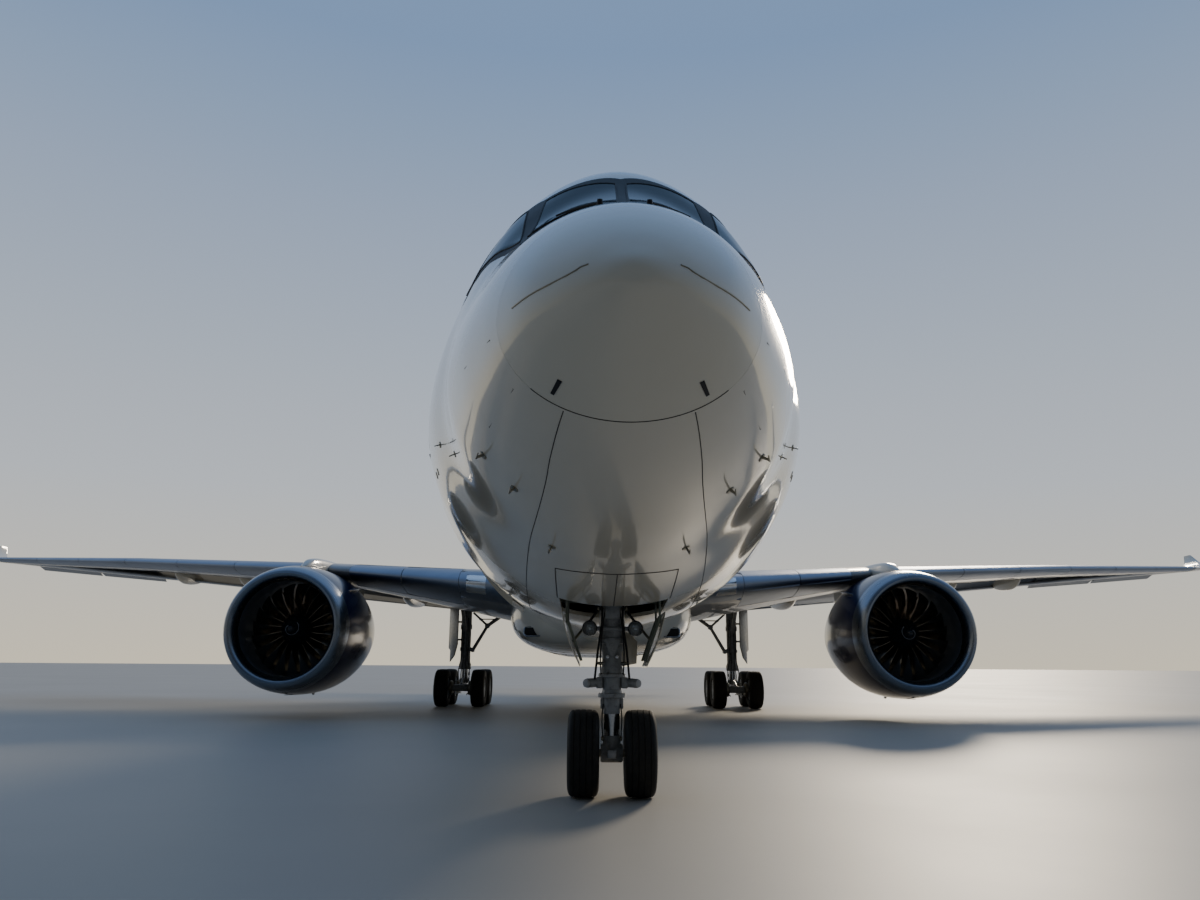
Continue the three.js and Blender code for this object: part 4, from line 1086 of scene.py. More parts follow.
def rolled(foil, stations, steps=22, out=0.0):
    """A closed panel over stations of (span, first and last part of the chord)"""
    last = len(stations) - 1

    def place(u, v):
        span, first, end = stations[round(u * last)]
        reach = abs(1 - 2 * v)
        if first < 0.3:                  # closer together round a leading edge
            reach = 1 - cos(reach * pi / 2)
        return skin(foil, span, first + (end - first) * reach, 1 if v > 0.5 else -1, out)
    return sealed(sheet(last, 2 * steps, place))


def spread(start, end, first, last, count=8):
    """Stations evenly along the span, with the chord's parts running from one pair to another"""
    return [between((start, *first), (end, *last), i / count) for i in range(count + 1)]


print("root chord", round(WING[0][3], 1), "m, tip chord", WING[-1][3], "m")

# %% [markdown]
# ## Wing box, slats and flaps
#
# The box carries the load, so it is one skin from root to tip. Where a slat, flap or aileron sits, the
# box ends short of it: two stations a hair apart make the step. Slats are bare metal and come in
# lengths that can bend with the wing, so the outer run is cut in six.

# %% Where the moving edges are
GAP = 0.006                  # of the chord, between the box and a slat or flap
SLAT_DEPTH = 0.13
SLAT_SLIT = 0.012            # metres, between one slat and the next
FLAP_END = 0.02
SLATS = {"inner": (4.30, 8.30), "outer": (10.35, 28.80)}
FLAPS = {"inner": (3.30, 9.25, 0.865, 0.80), "outer": (9.50, 20.15, 0.79, 0.745)}
AILERONS = {"inner": (20.35, 24.05), "outer": (24.13, 27.85)}
HINGE_PART = 0.74
COVE = 0.022                 # of the chord, in front of an aileron's round nose
HAIR = 0.006
BOX_START, BOX_END = 2.4, 28.99
KINKS = [WING[2][0], WING[3][0]]


def box_span():
    """Stations of the wing box, doubled at each step"""
    marks = [BOX_START]
    for low, high in [*SLATS.values(), *(ends[:2] for ends in FLAPS.values()), *AILERONS.values()]:
        marks += [low, low + HAIR, high - HAIR, high]
    marks += [*KINKS, BOX_END] + [2.6 + 1.2 * i for i in range(22)]
    return sorted(set(round(mark, 4) for mark in marks))


def box_parts(span):
    first = next((SLAT_DEPTH + GAP for low, high in SLATS.values() if low < span < high), 0)
    for low, high, inner, outer in FLAPS.values():
        if low < span < high:
            return first, inner + (outer - inner) * (span - low) / (high - low) - GAP
    held = any(low < span < high for low, high in AILERONS.values())
    return first, HINGE_PART - COVE if held else 1


def wing_box():
    return {wing_paint: [rolled("wing", [(span, *box_parts(span)) for span in box_span()], 26)]}


def slat_run(start, end, count):
    length = (end - start) / count
    depths = [(0, SLAT_DEPTH)] * 2
    runs = [spread(start + i * length + SLAT_SLIT, start + (i + 1) * length - SLAT_SLIT, *depths, 4)
            for i in range(count)]
    return {slat_metal: [rolled("wing", run, 14) for run in runs]}


def flap(low, high, inner, outer):
    stations = spread(low + FLAP_END, high - FLAP_END, (inner, 1), (outer, 1), 10)
    return {wing_paint: [rolled("wing", stations, 10)]}


pair("wing_box", "airframe", wing_box, ["wing"], sharp=28)
for name, count in (("inner", 2), ("outer", 6)):
    pair(name + "_slats", "airframe", lambda: slat_run(*SLATS[name], count), [name + "_slat"], sharp=28)
for name, ends in FLAPS.items():
    pair(name + "_flap_skin", "airframe", lambda: flap(*ends), [name + "_flap"], sharp=28)

# %% [markdown]
# ## Surfaces on hinges
#
# An aileron, elevator or rudder has a round nose that turns in a hollow in front of it. Its own frame
# runs along the hinge: the nose is a half circle about the hinge, and the sides run straight to the
# trailing edge. At rest the unpowered surfaces droop, so the shape is turned about its hinge at once.

# %% Ailerons, elevators and rudder
NOSE_FIT = 0.96
NOSE_SHARE = 0.3             # of the outline's points, spent on the round nose
TRIM = 0.01                  # off the trailing edge
END_GAP = 0.03               # between a hinged surface and the rib beside it


def hinge_point(foil, span, part):
    """A point of the hinge line, with the thickness there and the chord behind it"""
    _, _, _, chord, ratio, _, _ = station(foil, span)
    return skin(foil, span, part, 0), half_thickness(part) * ratio * chord * NOSE_FIT, (1 - part) * chord


def hinged(foil, inner, outer, part, droop):
    """A surface with a round nose between two places along the span, turned down by its droop"""
    start, end = hinge_point(foil, inner, part), hinge_point(foil, outer, part)
    along = (end[0] - start[0]).normalized()
    upper = Vector(X if foil == "fin" else Z)
    back = upper.cross(along).normalized()
    back *= copysign(1, back.y)
    normal = along.cross(back).normalized()
    normal *= copysign(1, normal.dot(upper))
    sink = radians(droop)
    aft = back * cos(sink) - normal * sin(sink)
    thick = normal * cos(sink) + back * sin(sink)
    stream = aft * back.y + along * along.y      # its ends lie in the wind, as the box's ribs do

    def place(u, v):
        centre, radius, reach = (a + u * (b - a) for a, b in zip(start, end))
        side = 1 if v > 0.5 else -1
        turn = abs(2 * v - 1)
        if turn < NOSE_SHARE:
            angle = turn / NOSE_SHARE * pi / 2
            return centre - aft * radius * cos(angle) + thick * side * radius * sin(angle)
        part_back = (turn - NOSE_SHARE) / (1 - NOSE_SHARE)
        half = radius + (EDGE - radius) * part_back
        return centre + stream * (reach - TRIM) * part_back + thick * side * half
    return sealed(sheet(8, 40, place))


DROOP = 25
ELEVATOR = (1.75, 9.45)
ELEVATOR_PART = 0.70
ELEVATOR_DROOP = 15
RUDDER = (8.95, 16.35)
RUDDER_PART = 0.70
for name, (inner, outer) in AILERONS.items():
    pair(name + "_aileron_skin", name + "_aileron",
         lambda: {wing_paint: [hinged("wing", inner + END_GAP, outer - END_GAP, HINGE_PART, DROOP)]},
         [name + "_aileron"], sharp=28)

# %% [markdown]
# ## Spoilers, access panels and the wing's small parts
#
# On top six spoilers lie in front of the flaps, and below a row of oval covers lets people into the
# tanks. Their outlines are thin raised lips a few millimetres thick. The wing also carries a lit
# window near its root, a position lamp in its tip and static wicks along its trailing edge.

# %% Small parts of the wing
SPOILERS = [(5.6, 8.2, 0.70, 0.79), (10.0, 11.9, 0.66, 0.77), (12.0, 13.9, 0.66, 0.765),
            (14.0, 15.9, 0.655, 0.755), (16.0, 17.9, 0.65, 0.75), (18.0, 19.8, 0.645, 0.735)]
COVERS = [11.2 + 1.15 * i for i in range(13)]
COVER_HALF = (0.28, 0.17)
COVER_PART = 0.40            # of the chord
WICKS = (29.3, 29.8, 30.3, 30.8)
LIP = 0.006


def spoiler(low, high, front, back):
    return walled(sheet(6, 8, lambda u, v: skin(
        "wing", low + u * (high - low), front - 0.01 + v * (back - front), 1, LIP)), LIP + 0.004)


def cover(span):
    """The oval seam of a tank's cover, on the lower side"""
    along, across = COVER_HALF[0] / station("wing", span)[3], COVER_HALF[1]
    turns = [circle(i / 20) for i in range(21)]
    ring = [skin("wing", span + across * b, COVER_PART + along * a, -1, 0.001) for a, b in turns]
    return pipe(ring, 0.005, 5)


def band(foil, first, step, count, end, steps=8, out=0.0):
    """A panel round the leading edge, over stations evenly apart"""
    return rolled(foil, [(first + step * i, 0, end) for i in range(count)], steps, out)


def wick(span):
    foot = skin("wingtip", span, 0.99, 0)
    return rod(foot, foot + Vector((0, 0.20, -0.01)), 0.006, 0.003, 6)


def root_edge():
    """The fixed leading edge next to the hull, bare metal too, with a glazed landing light in it"""
    metal = [(2.70 + i * 0.2, 0, 0.05) for i in range(8)] + [(4.29, 0, 0.06)]
    return {slat_metal: [rolled("wing", metal, 10, 0.003)],
            lamp_glass: [band("wing", 3.42, 0.09, 8, 0.018, 8, 0.007)]}


pair("wing_panels", "airframe", lambda: {wing_paint: [spoiler(*row) for row in SPOILERS],
                                         seam_shadow: [cover(span) for span in COVERS]}, sharp=40)
pair("wingtip_skin", "airframe", lambda: {cream_gloss: [band("wingtip", 29.004, 2.95 / 26, 27, 1, 20)]},
     ["wingtip"], sharp=40)
pair("wingtip_lamp", "airframe", lambda: {lamp_glass: [band("wingtip", 30.05, 0.05, 9, 0.09, 8, 0.003)]},
     sharp=40)
pair("static_wicks", "airframe", lambda: {black_rubber: [wick(span) for span in WICKS]})
pair("wing_root_edge", "airframe", root_edge, sharp=40)

# %% [markdown]
# ## Flap track fairings
#
# The rails that carry the flaps are wrapped in canoe-shaped fairings. A canoe is a loft of ovals whose
# fullness swells and fades along the chord, hung from the wing's lower skin, its tail free behind the
# trailing edge.

# %% Canoe fairings
FLAP_FAIRINGS = [(7.35, 0.30), (11.4, 0.28), (14.9, 0.30), (18.4, 0.32)]
CANOE = [(0.46, 0.03), (0.50, 0.36), (0.54, 0.62), (0.60, 0.86), (0.66, 0.98), (0.75, 1.02), (0.84, 0.98),
         (0.90, 0.88), (0.96, 0.70), (1.01, 0.42), (1.06, 0.05)]
CANOE_TAIL = 6.0             # metres for each whole part of the chord behind the trailing edge
CANOE_SINK, CANOE_DROP, CANOE_HALF, CANOE_HIGH = 0.6, 0.5, 0.8, 1.3
canoe_curve = table(CANOE)


def canoe(span, size):
    def place(u, v):
        part = CANOE[0][0] + u * (CANOE[-1][0] - CANOE[0][0])
        full = canoe_curve(part)[0]
        inside = min(part, 1)
        _, start, _, chord, ratio, _, _ = station("wing", span)
        middle = skin("wing", span, inside, 0)
        middle.y = start + inside * chord + max(part - 1, 0) * CANOE_TAIL
        middle.z -= half_thickness(inside) * ratio * chord * CANOE_SINK + size * CANOE_DROP * full
        up, across = circle(v)
        return middle + size * full * Vector((CANOE_HALF * across, 0, CANOE_HIGH * up))
    return sealed(sheet(32, 28, place))


pair("flap_fairings", "airframe", lambda: {cream_gloss: [canoe(*spot) for spot in FLAP_FAIRINGS]}, sharp=60)

# %% [markdown]
# ## Belly fairing
#
# A composite fairing wraps the joint of wing and hull and holds the air conditioning. It is a loft of
# ovals under the hull, with two ram air inlets in its nose, and doors of the main gear along its keel.

# %% Belly fairing and its inlets
FAIRING = [(18.6, 2.20, 0.60, 2.60, 3.0), (20.0, 2.02, 1.90, 2.95, 3.6), (21.6, 1.92, 2.55, 3.20, 4.3),
           (23.5, 1.89, 2.80, 3.30, 4.7), (34.0, 1.89, 2.82, 3.30, 4.7), (36.4, 1.98, 2.62, 3.25, 4.4),
           (38.6, 2.14, 2.00, 3.10, 3.8), (40.6, 2.36, 0.80, 2.80, 3.2)]
INLET_TURN = 111
INLET_Y = 20.1
# of the black plate that paints the shade inside the mouth and of the hump: two corners from the
# middle of the mouth and the roundness of the edges
INLET = [((-0.22, -0.045, -0.11), (0.22, -0.01, 0.11), 0.015),
         ((-0.235, -0.025, -0.125), (0.235, 0.9, 0.125), 0.06)]
fairing_frame = lru_cache(maxsize=None)(table(FAIRING))


def belly(turn, y, out=0.0):
    low, half, wide, high = fairing_frame(y)
    across, up = oval(turn, high, low, half, wide, lower=3, out=out)
    return Vector((across, y, up))


def belly_skin():
    first, last = FAIRING[0][0], FAIRING[-1][0]
    return sealed(sheet(72, 96, lambda u, v: belly((2 * v - 1) * pi, first + u * (last - first))))


def belly_line(marks):
    """A seam through marks of (y, degrees)"""
    return pipe([belly(radians(degrees), y, 0.001) for y, degrees in marks], 0.007, 5)


def door_line(marks, side):
    """The same in short steps, for the edge of a gear door on either side"""
    marks = [(y, degrees if side > 0 else 360 - degrees) for y, degrees in marks]
    return belly_line([between(a, b, part / 8) for a, b in zip(marks, marks[1:]) for part in range(9)])


def inlet():
    """A ram air scoop: a hump that sinks into the fairing, with a lipped mouth and a black plate in it as
    painted shade
    """
    mouth = belly(radians(INLET_TURN), INLET_Y, 0.02)
    lip = [mouth + Vector((0.24 * bent(a, 0.5), 0.12 * b - 0.05, 0.13 * bent(b, 0.5)))
           for a, b in (circle(i / 28) for i in range(29))]
    # the throat is no hollow: a black plate in the mouth is painted shade
    shade_plate, hump = (block(mouth + Vector(low), mouth + Vector(high), bevel) for low, high, bevel in INLET)
    return {cream_gloss: [hump], polished_lip: [pipe(lip, 0.022, 8)], black_paint_and_shade: [shade_plate]}


GEAR_DOORS = [[(29.6, 180), (29.6, 112)], [(34.2, 180), (34.2, 112)],
              [(29.6, 112), (31.0, 112), (34.2, 112)]]
PANEL_RINGS = (21.9, 24.6, 27.2, 36.0)
lines = [belly_line([(y, degrees) for degrees in range(100, 261, 8)]) for y in PANEL_RINGS]
lines.append(belly_line([(y, 180) for y in (29.6, 31, 33, 34.2)]))
lines += [door_line(marks, side) for side in (1, -1) for marks in GEAR_DOORS]
piece("belly_fairing_skin", "airframe", {cream_gloss: [belly_skin()], seam_shadow: lines},
      ["belly_fairing"], sharp=60)
pair("ram_air_inlet", "airframe", inlet, sharp=40)

# %% [markdown]
# ## The tail
#
# Fin and stabilisers are wings too: the same rolled sheet makes the fixed box, cut off short of the
# hinge, and the hinged surface fills the rest. The whole stabiliser pivots to trim, so a painted plate
# on the hull marks the slot it slides in.

# %% Fin, rudder, stabilisers and elevators
BIT = 0.03


def tail_box(foil, spans, hinge, part, end):
    """Stations of a fixed surface with its hinged part left out"""
    low, high = hinge[0] - END_GAP, hinge[1] + END_GAP
    marks = sorted({*spans, low - HAIR, low, high, high + HAIR, end})
    return rolled(foil, [(mark, 0, part - BIT if low <= mark <= high else 1) for mark in marks], 24)


fin_box = tail_box("fin", [7.52 + 0.6 * i for i in range(15)] + [8.40, 16.6], RUDDER, RUDDER_PART, 16.785)
piece("fin_box", "airframe", {fin_paint: [fin_box]}, ["fin"], sharp=28)
piece("rudder_skin", "rudder", {fin_paint: [hinged("fin", *RUDDER, RUDDER_PART, 0)]}, ["rudder"], sharp=28)
pair("stabiliser_box", "airframe",
     lambda: {tail_paint: [tail_box("stabiliser", [0.32 + 0.6 * i for i in range(16)] + [1.20], ELEVATOR,
                                    ELEVATOR_PART, 9.69)]}, ["stabiliser"], sharp=28)
pair("elevator_skin", "elevator",
     lambda: {tail_paint: [hinged("stabiliser", *ELEVATOR, ELEVATOR_PART, ELEVATOR_DROOP)]}, ["elevator"],
     sharp=28)
pair("stabiliser_edge", "airframe",
     lambda: {slat_metal: [band("stabiliser", 1.9, 0.5, 16, 0.045, 8, 0.002)]}, sharp=28)
piece("fin_edge", "airframe", {slat_metal: [band("fin", 8.6, 0.5, 16, 0.035, 8, 0.002)]}, sharp=28)

# %% [markdown]
# ## Tail cone
#
# The cone holds the auxiliary power unit. Its exhaust is a heat-stained metal ring, closed deep inside by
# a black disc that is painted shade of its duct; its doors meet at the keel, and a louvred inlet sits
# on the right.

# %% Tail cone and exhaust
CONE_END = 63.66
EXHAUST_REACH = 0.62
EXHAUST = [(0.36, 0.30), (0.40, 0.29), (0.62, 0.205), (0.615, 0.185), (0.40, 0.20), (0.0, 0.20), (0.0, 0.22),
           (0.36, 0.24)]
EXHAUST_SHADE_DISC = [(0.06, 0), (0.06, 0.20), (0.10, 0.20), (0.12, 0)]
APU_DOORS = (pi, 0.62 * pi, -0.62 * pi)


def cone():
    first, last = CONE_START + SEAM, CONE_END - 0.16
    shell = sheet(24, 96, lambda u, v: hull((2 * v - 1) * pi, first + u * (last - first)))
    bmesh.ops.remove_doubles(shell, verts=shell.verts, dist=MERGE)
    return walled(shell, 0.02)


exhaust_centre = Vector((0, CONE_END - EXHAUST_REACH, centre_at(CONE_END) + FRAMES[-1][4]))
ring = turned(EXHAUST, exhaust_centre, Y, 48, closed=True)
# a black disc deep in the exhaust ring: painted shade that closes the duct
duct_shade_disc = turned(EXHAUST_SHADE_DISC, exhaust_centre, Y, 32)
doors = [pipe([hull(turn, 61.45 + i * 0.2, 0.001) for i in range(9)], 0.006, 5) for turn in APU_DOORS]
louvres = [pipe([hull(radians(degrees), 61.75 + 0.12 * i, 0.004) for degrees in range(-62, -27, 5)],
                0.018, 6) for i in range(6)]
piece("tail_cone_skin", "airframe", {cream_gloss: [cone()], nozzle_alloy: [ring], black_paint_and_shade: [duct_shade_disc],
                                     seam_shadow: doors, steel: louvres}, ["tail_cone"], sharp=40)


def trim_plate():
    """The scuff plate where the stabiliser meets the hull"""
    corners = [(turn_at(y, up), y) for y, up in ((53.4, 1.0), (59.0, 1.2), (59.0, 1.95), (53.4, 1.95))]
    return {tail_paint: [quad(corners, 0.008, 0.006, 20, 8)]}


pair("trim_plate", "airframe", trim_plate, sharp=40)

# %% [markdown]
# ## Engines
#
# A big turbofan is a set of rings on one axis, so each is an outline spun once: a bare metal lip, a navy
# fan cowl, a thrust reverser that slides back, and a duct lined with perforated sheet that soaks up
# noise. The rings are closed outlines with real wall thickness, parted by thin gaps.

# %% Finishes of the engine
def liner_finish():
    """Perforated sheet: the real holes are 1.5 mm on a 4 mm pitch, drawn ten times coarser to show"""
    made = weathered("perforated_acoustic_liner", ("#7C8288", "#676D74"), 400, (0.32, 0.48), 20, 0.1,
                     metallic=0.5)
    holes = add(made["tree"], "ShaderNodeTexVoronoi", {"Scale": per(40), "Randomness": 0.0},
                {"Vector": made["where"]})
    dots = add(made["tree"], "ShaderNodeMapRange",
               {"From Min": 0.22, "From Max": 0.30, "To Min": 1.0, "To Max": 0.0},
               {"Value": holes.outputs["Distance"]})
    darken(made, dots.outputs["Result"], "#23262A", 0.5)
    return made["material"]


acoustic_liner = liner_finish()
spinner_paint = finish("dark_spinner_enamel", ("#24272B", "#191B1F"), 120, (0.2, 0.32), 30, 0.15, coat=0.4)
swirl_paint = finish("white_marking_enamel", ("#B9BBBC", "#A2A4A6"), 60, (0.3, 0.4), 10, 0.1)

# %% Rings of the nacelle
ENGINE = Vector((9.37, 21.85, 2.60))
OUTSIDE = [(0, 1.60), (0.05, 1.685), (0.20, 1.765), (0.55, 1.85), (1.2, 1.925), (2.2, 1.96), (3.3, 1.90),
           (4.4, 1.70), (5.5, 1.44)]
INSIDE = [(0, 1.60), (0.03, 1.54), (0.15, 1.46), (0.40, 1.40), (0.8, 1.41), (1.25, 1.455), (2.2, 1.455),
          (3.2, 1.60), (4.3, 1.58), (5.5, 1.41)]
LATCHES = (0.9, 1.35, 1.8, 2.5, 3.0)
DRAIN_MAST = [(3.3, -1.86), (3.62, -1.80), (3.80, -2.00), (3.66, -2.02)]
LIP_END = 0.56
COWL, REVERSER, NOZZLE = (0.568, 2.24), (2.25, 4.62), (4.63, 5.49)
LINER, DUCT = (0.408, 2.2), (2.21, 5.49)
COWL_WALL, NOZZLE_WALL, DUCT_WALL = 0.05, 0.024, 0.02


def flow_line(points, start, end):
    """The stretch of a smooth profile between two distances, as (along, radius)"""
    path = curved([(along, radius, 0) for along, radius in points], 12)
    curve = [(point.x, point.y) for point in path]
    inner = [spot for spot in curve if start < spot[0] < end]
    at = through(*map(list, zip(*sorted(set((round(a, 5), r) for a, r in curve)))))
    return [(start, at(start))] + inner + [(end, at(end))]


def shell_ring(points, start, end, wall, sides=96):
    """A ring with an outline on one face and a wall on the other"""
    face = flow_line(points, start, end)
    back = [(along, radius + wall) for along, radius in reversed(face)]
    return turned(face + back, ENGINE, sides=sides, closed=True)


def lip():
    outer = flow_line(OUTSIDE, 0, LIP_END)
    inner = flow_line(INSIDE, 0, 0.40)
    back = [(LIP_END, outer[-1][1] - COWL_WALL), (0.46, 1.46), (0.40, 1.43)]
    return turned(outer + back + list(reversed(inner))[:-1], ENGINE, sides=112, closed=True)


def cowl_seam(turn):
    """Where two cowl doors meet, along the outside"""
    turn = Matrix.Rotation(turn, 3, "Y")
    return pipe([ENGINE + turn @ Vector((0, along, radius + 0.001))
                 for along, radius in flow_line(OUTSIDE, 0.58, 4.60)], 0.005, 5)


def nacelle():
    cowls = [shell_ring(OUTSIDE, *COWL, -COWL_WALL), shell_ring(OUTSIDE, *REVERSER, -COWL_WALL)]
    latches_below = [block(ENGINE + Vector((-0.05, y, -1.965 + 0.02 * abs(y - 2))),
                           ENGINE + Vector((0.05, y + 0.16, -1.93)), 0.008)
                     for y in LATCHES]
    mast = plate([ENGINE + Vector((-0.02, *point)) for point in DRAIN_MAST], (0.04, 0, 0), 0.008)
    return {navy_topcoat: cowls + [mast], polished_lip: [lip()] + latches_below,
            acoustic_liner: [shell_ring(INSIDE, *LINER, DUCT_WALL)],
            nozzle_alloy: [shell_ring(OUTSIDE, *NOZZLE, -NOZZLE_WALL), shell_ring(INSIDE, *DUCT, DUCT_WALL)],
            seam_shadow: [cowl_seam(turn) for turn in (pi, 0.12, -0.12)]}


def strake():
    """A fin on the cowl's inboard shoulder that sheds a vortex over the wing"""
    fin = plate([(-0.012, 1.30, 1.90), (-0.012, 1.75, 2.10), (-0.012, 2.15, 2.16), (-0.012, 2.20, 1.92)],
                Vector((0.024, 0, 0)), 0.005)
    bmesh.ops.rotate(fin, cent=(0, 0, 0), matrix=Matrix.Rotation(radians(-52), 3, "Y"), verts=fin.verts)
    bmesh.ops.translate(fin, vec=ENGINE, verts=fin.verts)
    return {navy_topcoat: [fin]}


pair("nacelle_cowls", "airframe", nacelle, ["nacelle"], sharp=30)
pair("nacelle_strake", "airframe", strake)

# %% [markdown]
# ## Fan
#
# Twenty wide titanium blades stand in the mouth. A blade is nearly along the axis at its root and
# nearly across it at its tip, bowed in between, and it thins to its edges. It is one sheet twisted by
# its radius and given a wall. The spinner carries a spiral that shows ground crew it is turning.

# %% Blades and spinner
FAN = {"front": 1.35, "back": 1.95, "radius": 1.425, "hub": 0.46, "tip": 0.72, "blades": 20}
# radius; degrees of twist; chord; how far back; how far round, in metres
BLADE = [(0.42, 20, 0.46, 0.00, 0.00), (0.70, 33, 0.50, -0.04, 0.03), (0.95, 44, 0.53, -0.05, 0.05),
         (1.20, 53, 0.54, -0.02, 0.03), (1.425, 62, 0.52, 0.05, -0.03)]
blade_at = table(BLADE)
CAMBER = 0.05
BLADE_WALL = 0.014
VANE_WALL = 0.012


def blade(turn):
    def place(u, v):
        radius = BLADE[0][0] + u * (BLADE[-1][0] - BLADE[0][0])
        twist, chord, sweep, lean = blade_at(radius)
        part = v - 0.5
        bow = CAMBER * chord * (1 - 4 * part * part)
        s, c = sin(radians(twist)), cos(radians(twist))
        across = s * part * chord + c * bow + lean
        along = c * part * chord - s * bow + (FAN["front"] + FAN["back"]) / 2 + sweep
        flat = Vector((across, along, sqrt(max(radius * radius - across * across, 0))))
        return ENGINE + Matrix.Rotation(turn, 3, "Y") @ flat
    return walled(sheet(16, 8, place), BLADE_WALL)


def fan():
    tip = FAN["tip"]
    cone = curved([(tip, 0.0, 0), (tip + 0.015, 0.05, 0), (tip + 0.07, 0.115, 0), (tip + 0.25, 0.25, 0),
                   (FAN["front"], FAN["hub"] - 0.005, 0)], 6)
    outline = [(point.x, point.y) for point in cone]
    hub = [(FAN["front"] + 0.01, FAN["hub"]), (FAN["back"], FAN["hub"]), (FAN["back"], 0)]
    spiral = []
    for part in (i / 30 for i in range(31)):
        radius = 0.10 + 0.14 * part
        turn = 0.5 + 2 * pi * 0.82 * part
        along = tip + 0.07 + (radius - 0.115) * (0.18 / 0.135)
        spiral.append(ENGINE + Vector((radius * sin(turn), along, radius * cos(turn))))
    return {fan_titanium: [blade(2 * pi * i / FAN["blades"]) for i in range(FAN["blades"])],
            spinner_paint: [turned(outline + hub, ENGINE, sides=64)], swirl_paint: [pipe(spiral, 0.011, 6)]}


pair("fan_rotor", "fan", fan, ["fan"], sharp=35)

# %% [markdown]
# ## Core, vanes and pylon
#
# Behind the fan, fixed vanes straighten the air, and the core carries on to a hot nozzle with a plug in
# it. The pylon is a slim beam in a rounded fairing that rises over the wing's edge.

# %% Core and pylon
CORE_COWL = [(2.28, 0), (2.28, 0.62), (2.9, 0.92), (4.2, 1.02), (5.6, 0.90), (6.5, 0.66), (6.5, 0.63),
             (6.2, 0.61), (6.2, 0)]
PLUG = [(6.15, 0), (6.15, 0.46), (6.5, 0.42), (7.0, 0.29), (7.45, 0.12), (7.68, 0.05), (7.7, 0)]
VANES_ROUND = 32
PYLON = [(23.36, 4.53, 4.45, 0.03), (23.6, 4.66, 4.26, 0.13), (24.1, 4.86, 3.90, 0.20),
         (24.75, 4.95, 3.36, 0.24), (26.6, 5.02, 3.31, 0.25), (27.6, 4.92, 3.31, 0.25),
         (28.9, 4.77, 3.62, 0.22), (30.2, 4.61, 3.88, 0.14), (31.18, 4.50, 4.07, 0.03)]
pylon_frame = lru_cache(maxsize=None)(table(PYLON))


def guide_vane(turn):
    turn = Matrix.Rotation(turn, 3, "Y")
    return walled(sheet(3, 5, lambda u, v: ENGINE + turn @ Vector(
        (0.10 * sin(pi * v / 2), 2.28 + 0.34 * v, 0.60 + 0.07 * v + u * (0.86 - 0.02 * v)))), VANE_WALL)


def core():
    return {nozzle_alloy: [turned(CORE_COWL, ENGINE, sides=72), turned(PLUG, ENGINE, sides=48)],
            steel: [guide_vane(2 * pi * i / VANES_ROUND) for i in range(VANES_ROUND)]}


def pylon():
    first, last = PYLON[0][0], PYLON[-1][0]

    def place(u, v):
        y = first + u * (last - first)
        top, bottom, half = pylon_frame(y)
        up, across = (bent(value, 0.55) for value in circle(v))
        return Vector((ENGINE.x + half * across, y, (top + bottom) / 2 + (top - bottom) / 2 * up))
    return {cream_gloss: [sealed(sheet(48, 40, place))]}


pair("engine_core_cowl", "airframe", core, ["engine_core"], sharp=30)
pair("pylon_fairing", "airframe", pylon, ["pylon"], sharp=60)

# %% [markdown]
# ## Wheels
#
# An aircraft tyre has plain sidewalls and only grooves round its tread, because it never has to steer
# through rain like a car's. Its section is an outline spun once. The rim is a forged dish with tie
# bolts and a hub cap; its round holes for brake cooling are not cut but drawn as black plugs, painted
# shade in the openings.

# %% Tyre and rim
# parts of the half width and of the radius
SIDEWALL = [(0.70, 0.500), (0.80, 0.545), (0.955, 0.64), (1.0, 0.74), (0.975, 0.84), (0.90, 0.925),
            (0.78, 0.972), (0.66, 0.986)]
TREAD = [(0.60, 0.989), (0.595, 0.972), (0.545, 0.972), (0.54, 0.992), (0.22, 0.999), (0.215, 0.982),
         (0.165, 0.982), (0.16, 1.0)]
RIM = [(0.60, 0), (0.60, 0.10), (0.44, 0.13), (0.30, 0.24), (0.34, 0.36), (0.62, 0.44), (0.76, 0.50),
       (0.79, 0.535), (0.70, 0.540), (0.60, 0.50), (0, 0.46), (0, 0)]
HUB_CAP = [(0, 0.085), (0.05, 0.075), (0.06, 0.05), (0.062, 0)]


def tyre(centre, radius, half):
    walls = [(point.x, point.y) for point in curved([(a, r, 0) for a, r in SIDEWALL], 3)]
    left = [(part * half, share * radius) for part, share in walls + TREAD]
    return turned(left + [(-along, share) for along, share in reversed(left)], centre, X, 96, closed=True)


def dish(centre, radius, half, face):
    """The rim's dish on one side; face is 1 or -1 across"""
    return turned([(part * half, share * radius) for part, share in RIM], centre, (face, 0, 0))


def rim_details(centre, radius, half, face):
    """The cap, the bolts, and black plugs as painted shade in the holes of the dish that faces out"""
    def out(part, up=0.0, turn=0.0):
        return centre + Vector((face * part * half, up * radius * cos(turn), up * radius * sin(turn)))
    cap = turned([(along, share * radius) for along, share in HUB_CAP], out(0.58), (face, 0, 0), 32)
    # black plugs through the dish: painted shade where the cooling holes open
    holes = [rod(out(0.30, 0.385, turn), out(0.455, 0.385, turn), 0.045 * radius, sides=16)
             for turn in (2 * pi * i / 9 for i in range(9))]
    return cap, bolts(out(0.32), (face, 0, 0), 0.28 * radius, 0.018), holes


def wheels(centre, radius, width, track, axle):
    """A pair of wheels on their axle"""
    parts = {tyre_rubber: [], rim_enamel: [], steel: [], black_paint_and_shade: []}
    reach = Vector((track / 2, 0, 0))
    for face in (-1, 1):
        wheel = centre + face * reach, radius, width / 2
        parts[tyre_rubber].append(tyre(*wheel))
        cap, heads, holes = rim_details(*wheel, face)
        parts[rim_enamel] += [dish(*wheel, face), cap, dish(*wheel, -face)]
        parts[steel] += heads
        parts[black_paint_and_shade] += holes
    parts[steel].append(rod(centre - reach, centre + reach, axle, sides=24))
    return parts


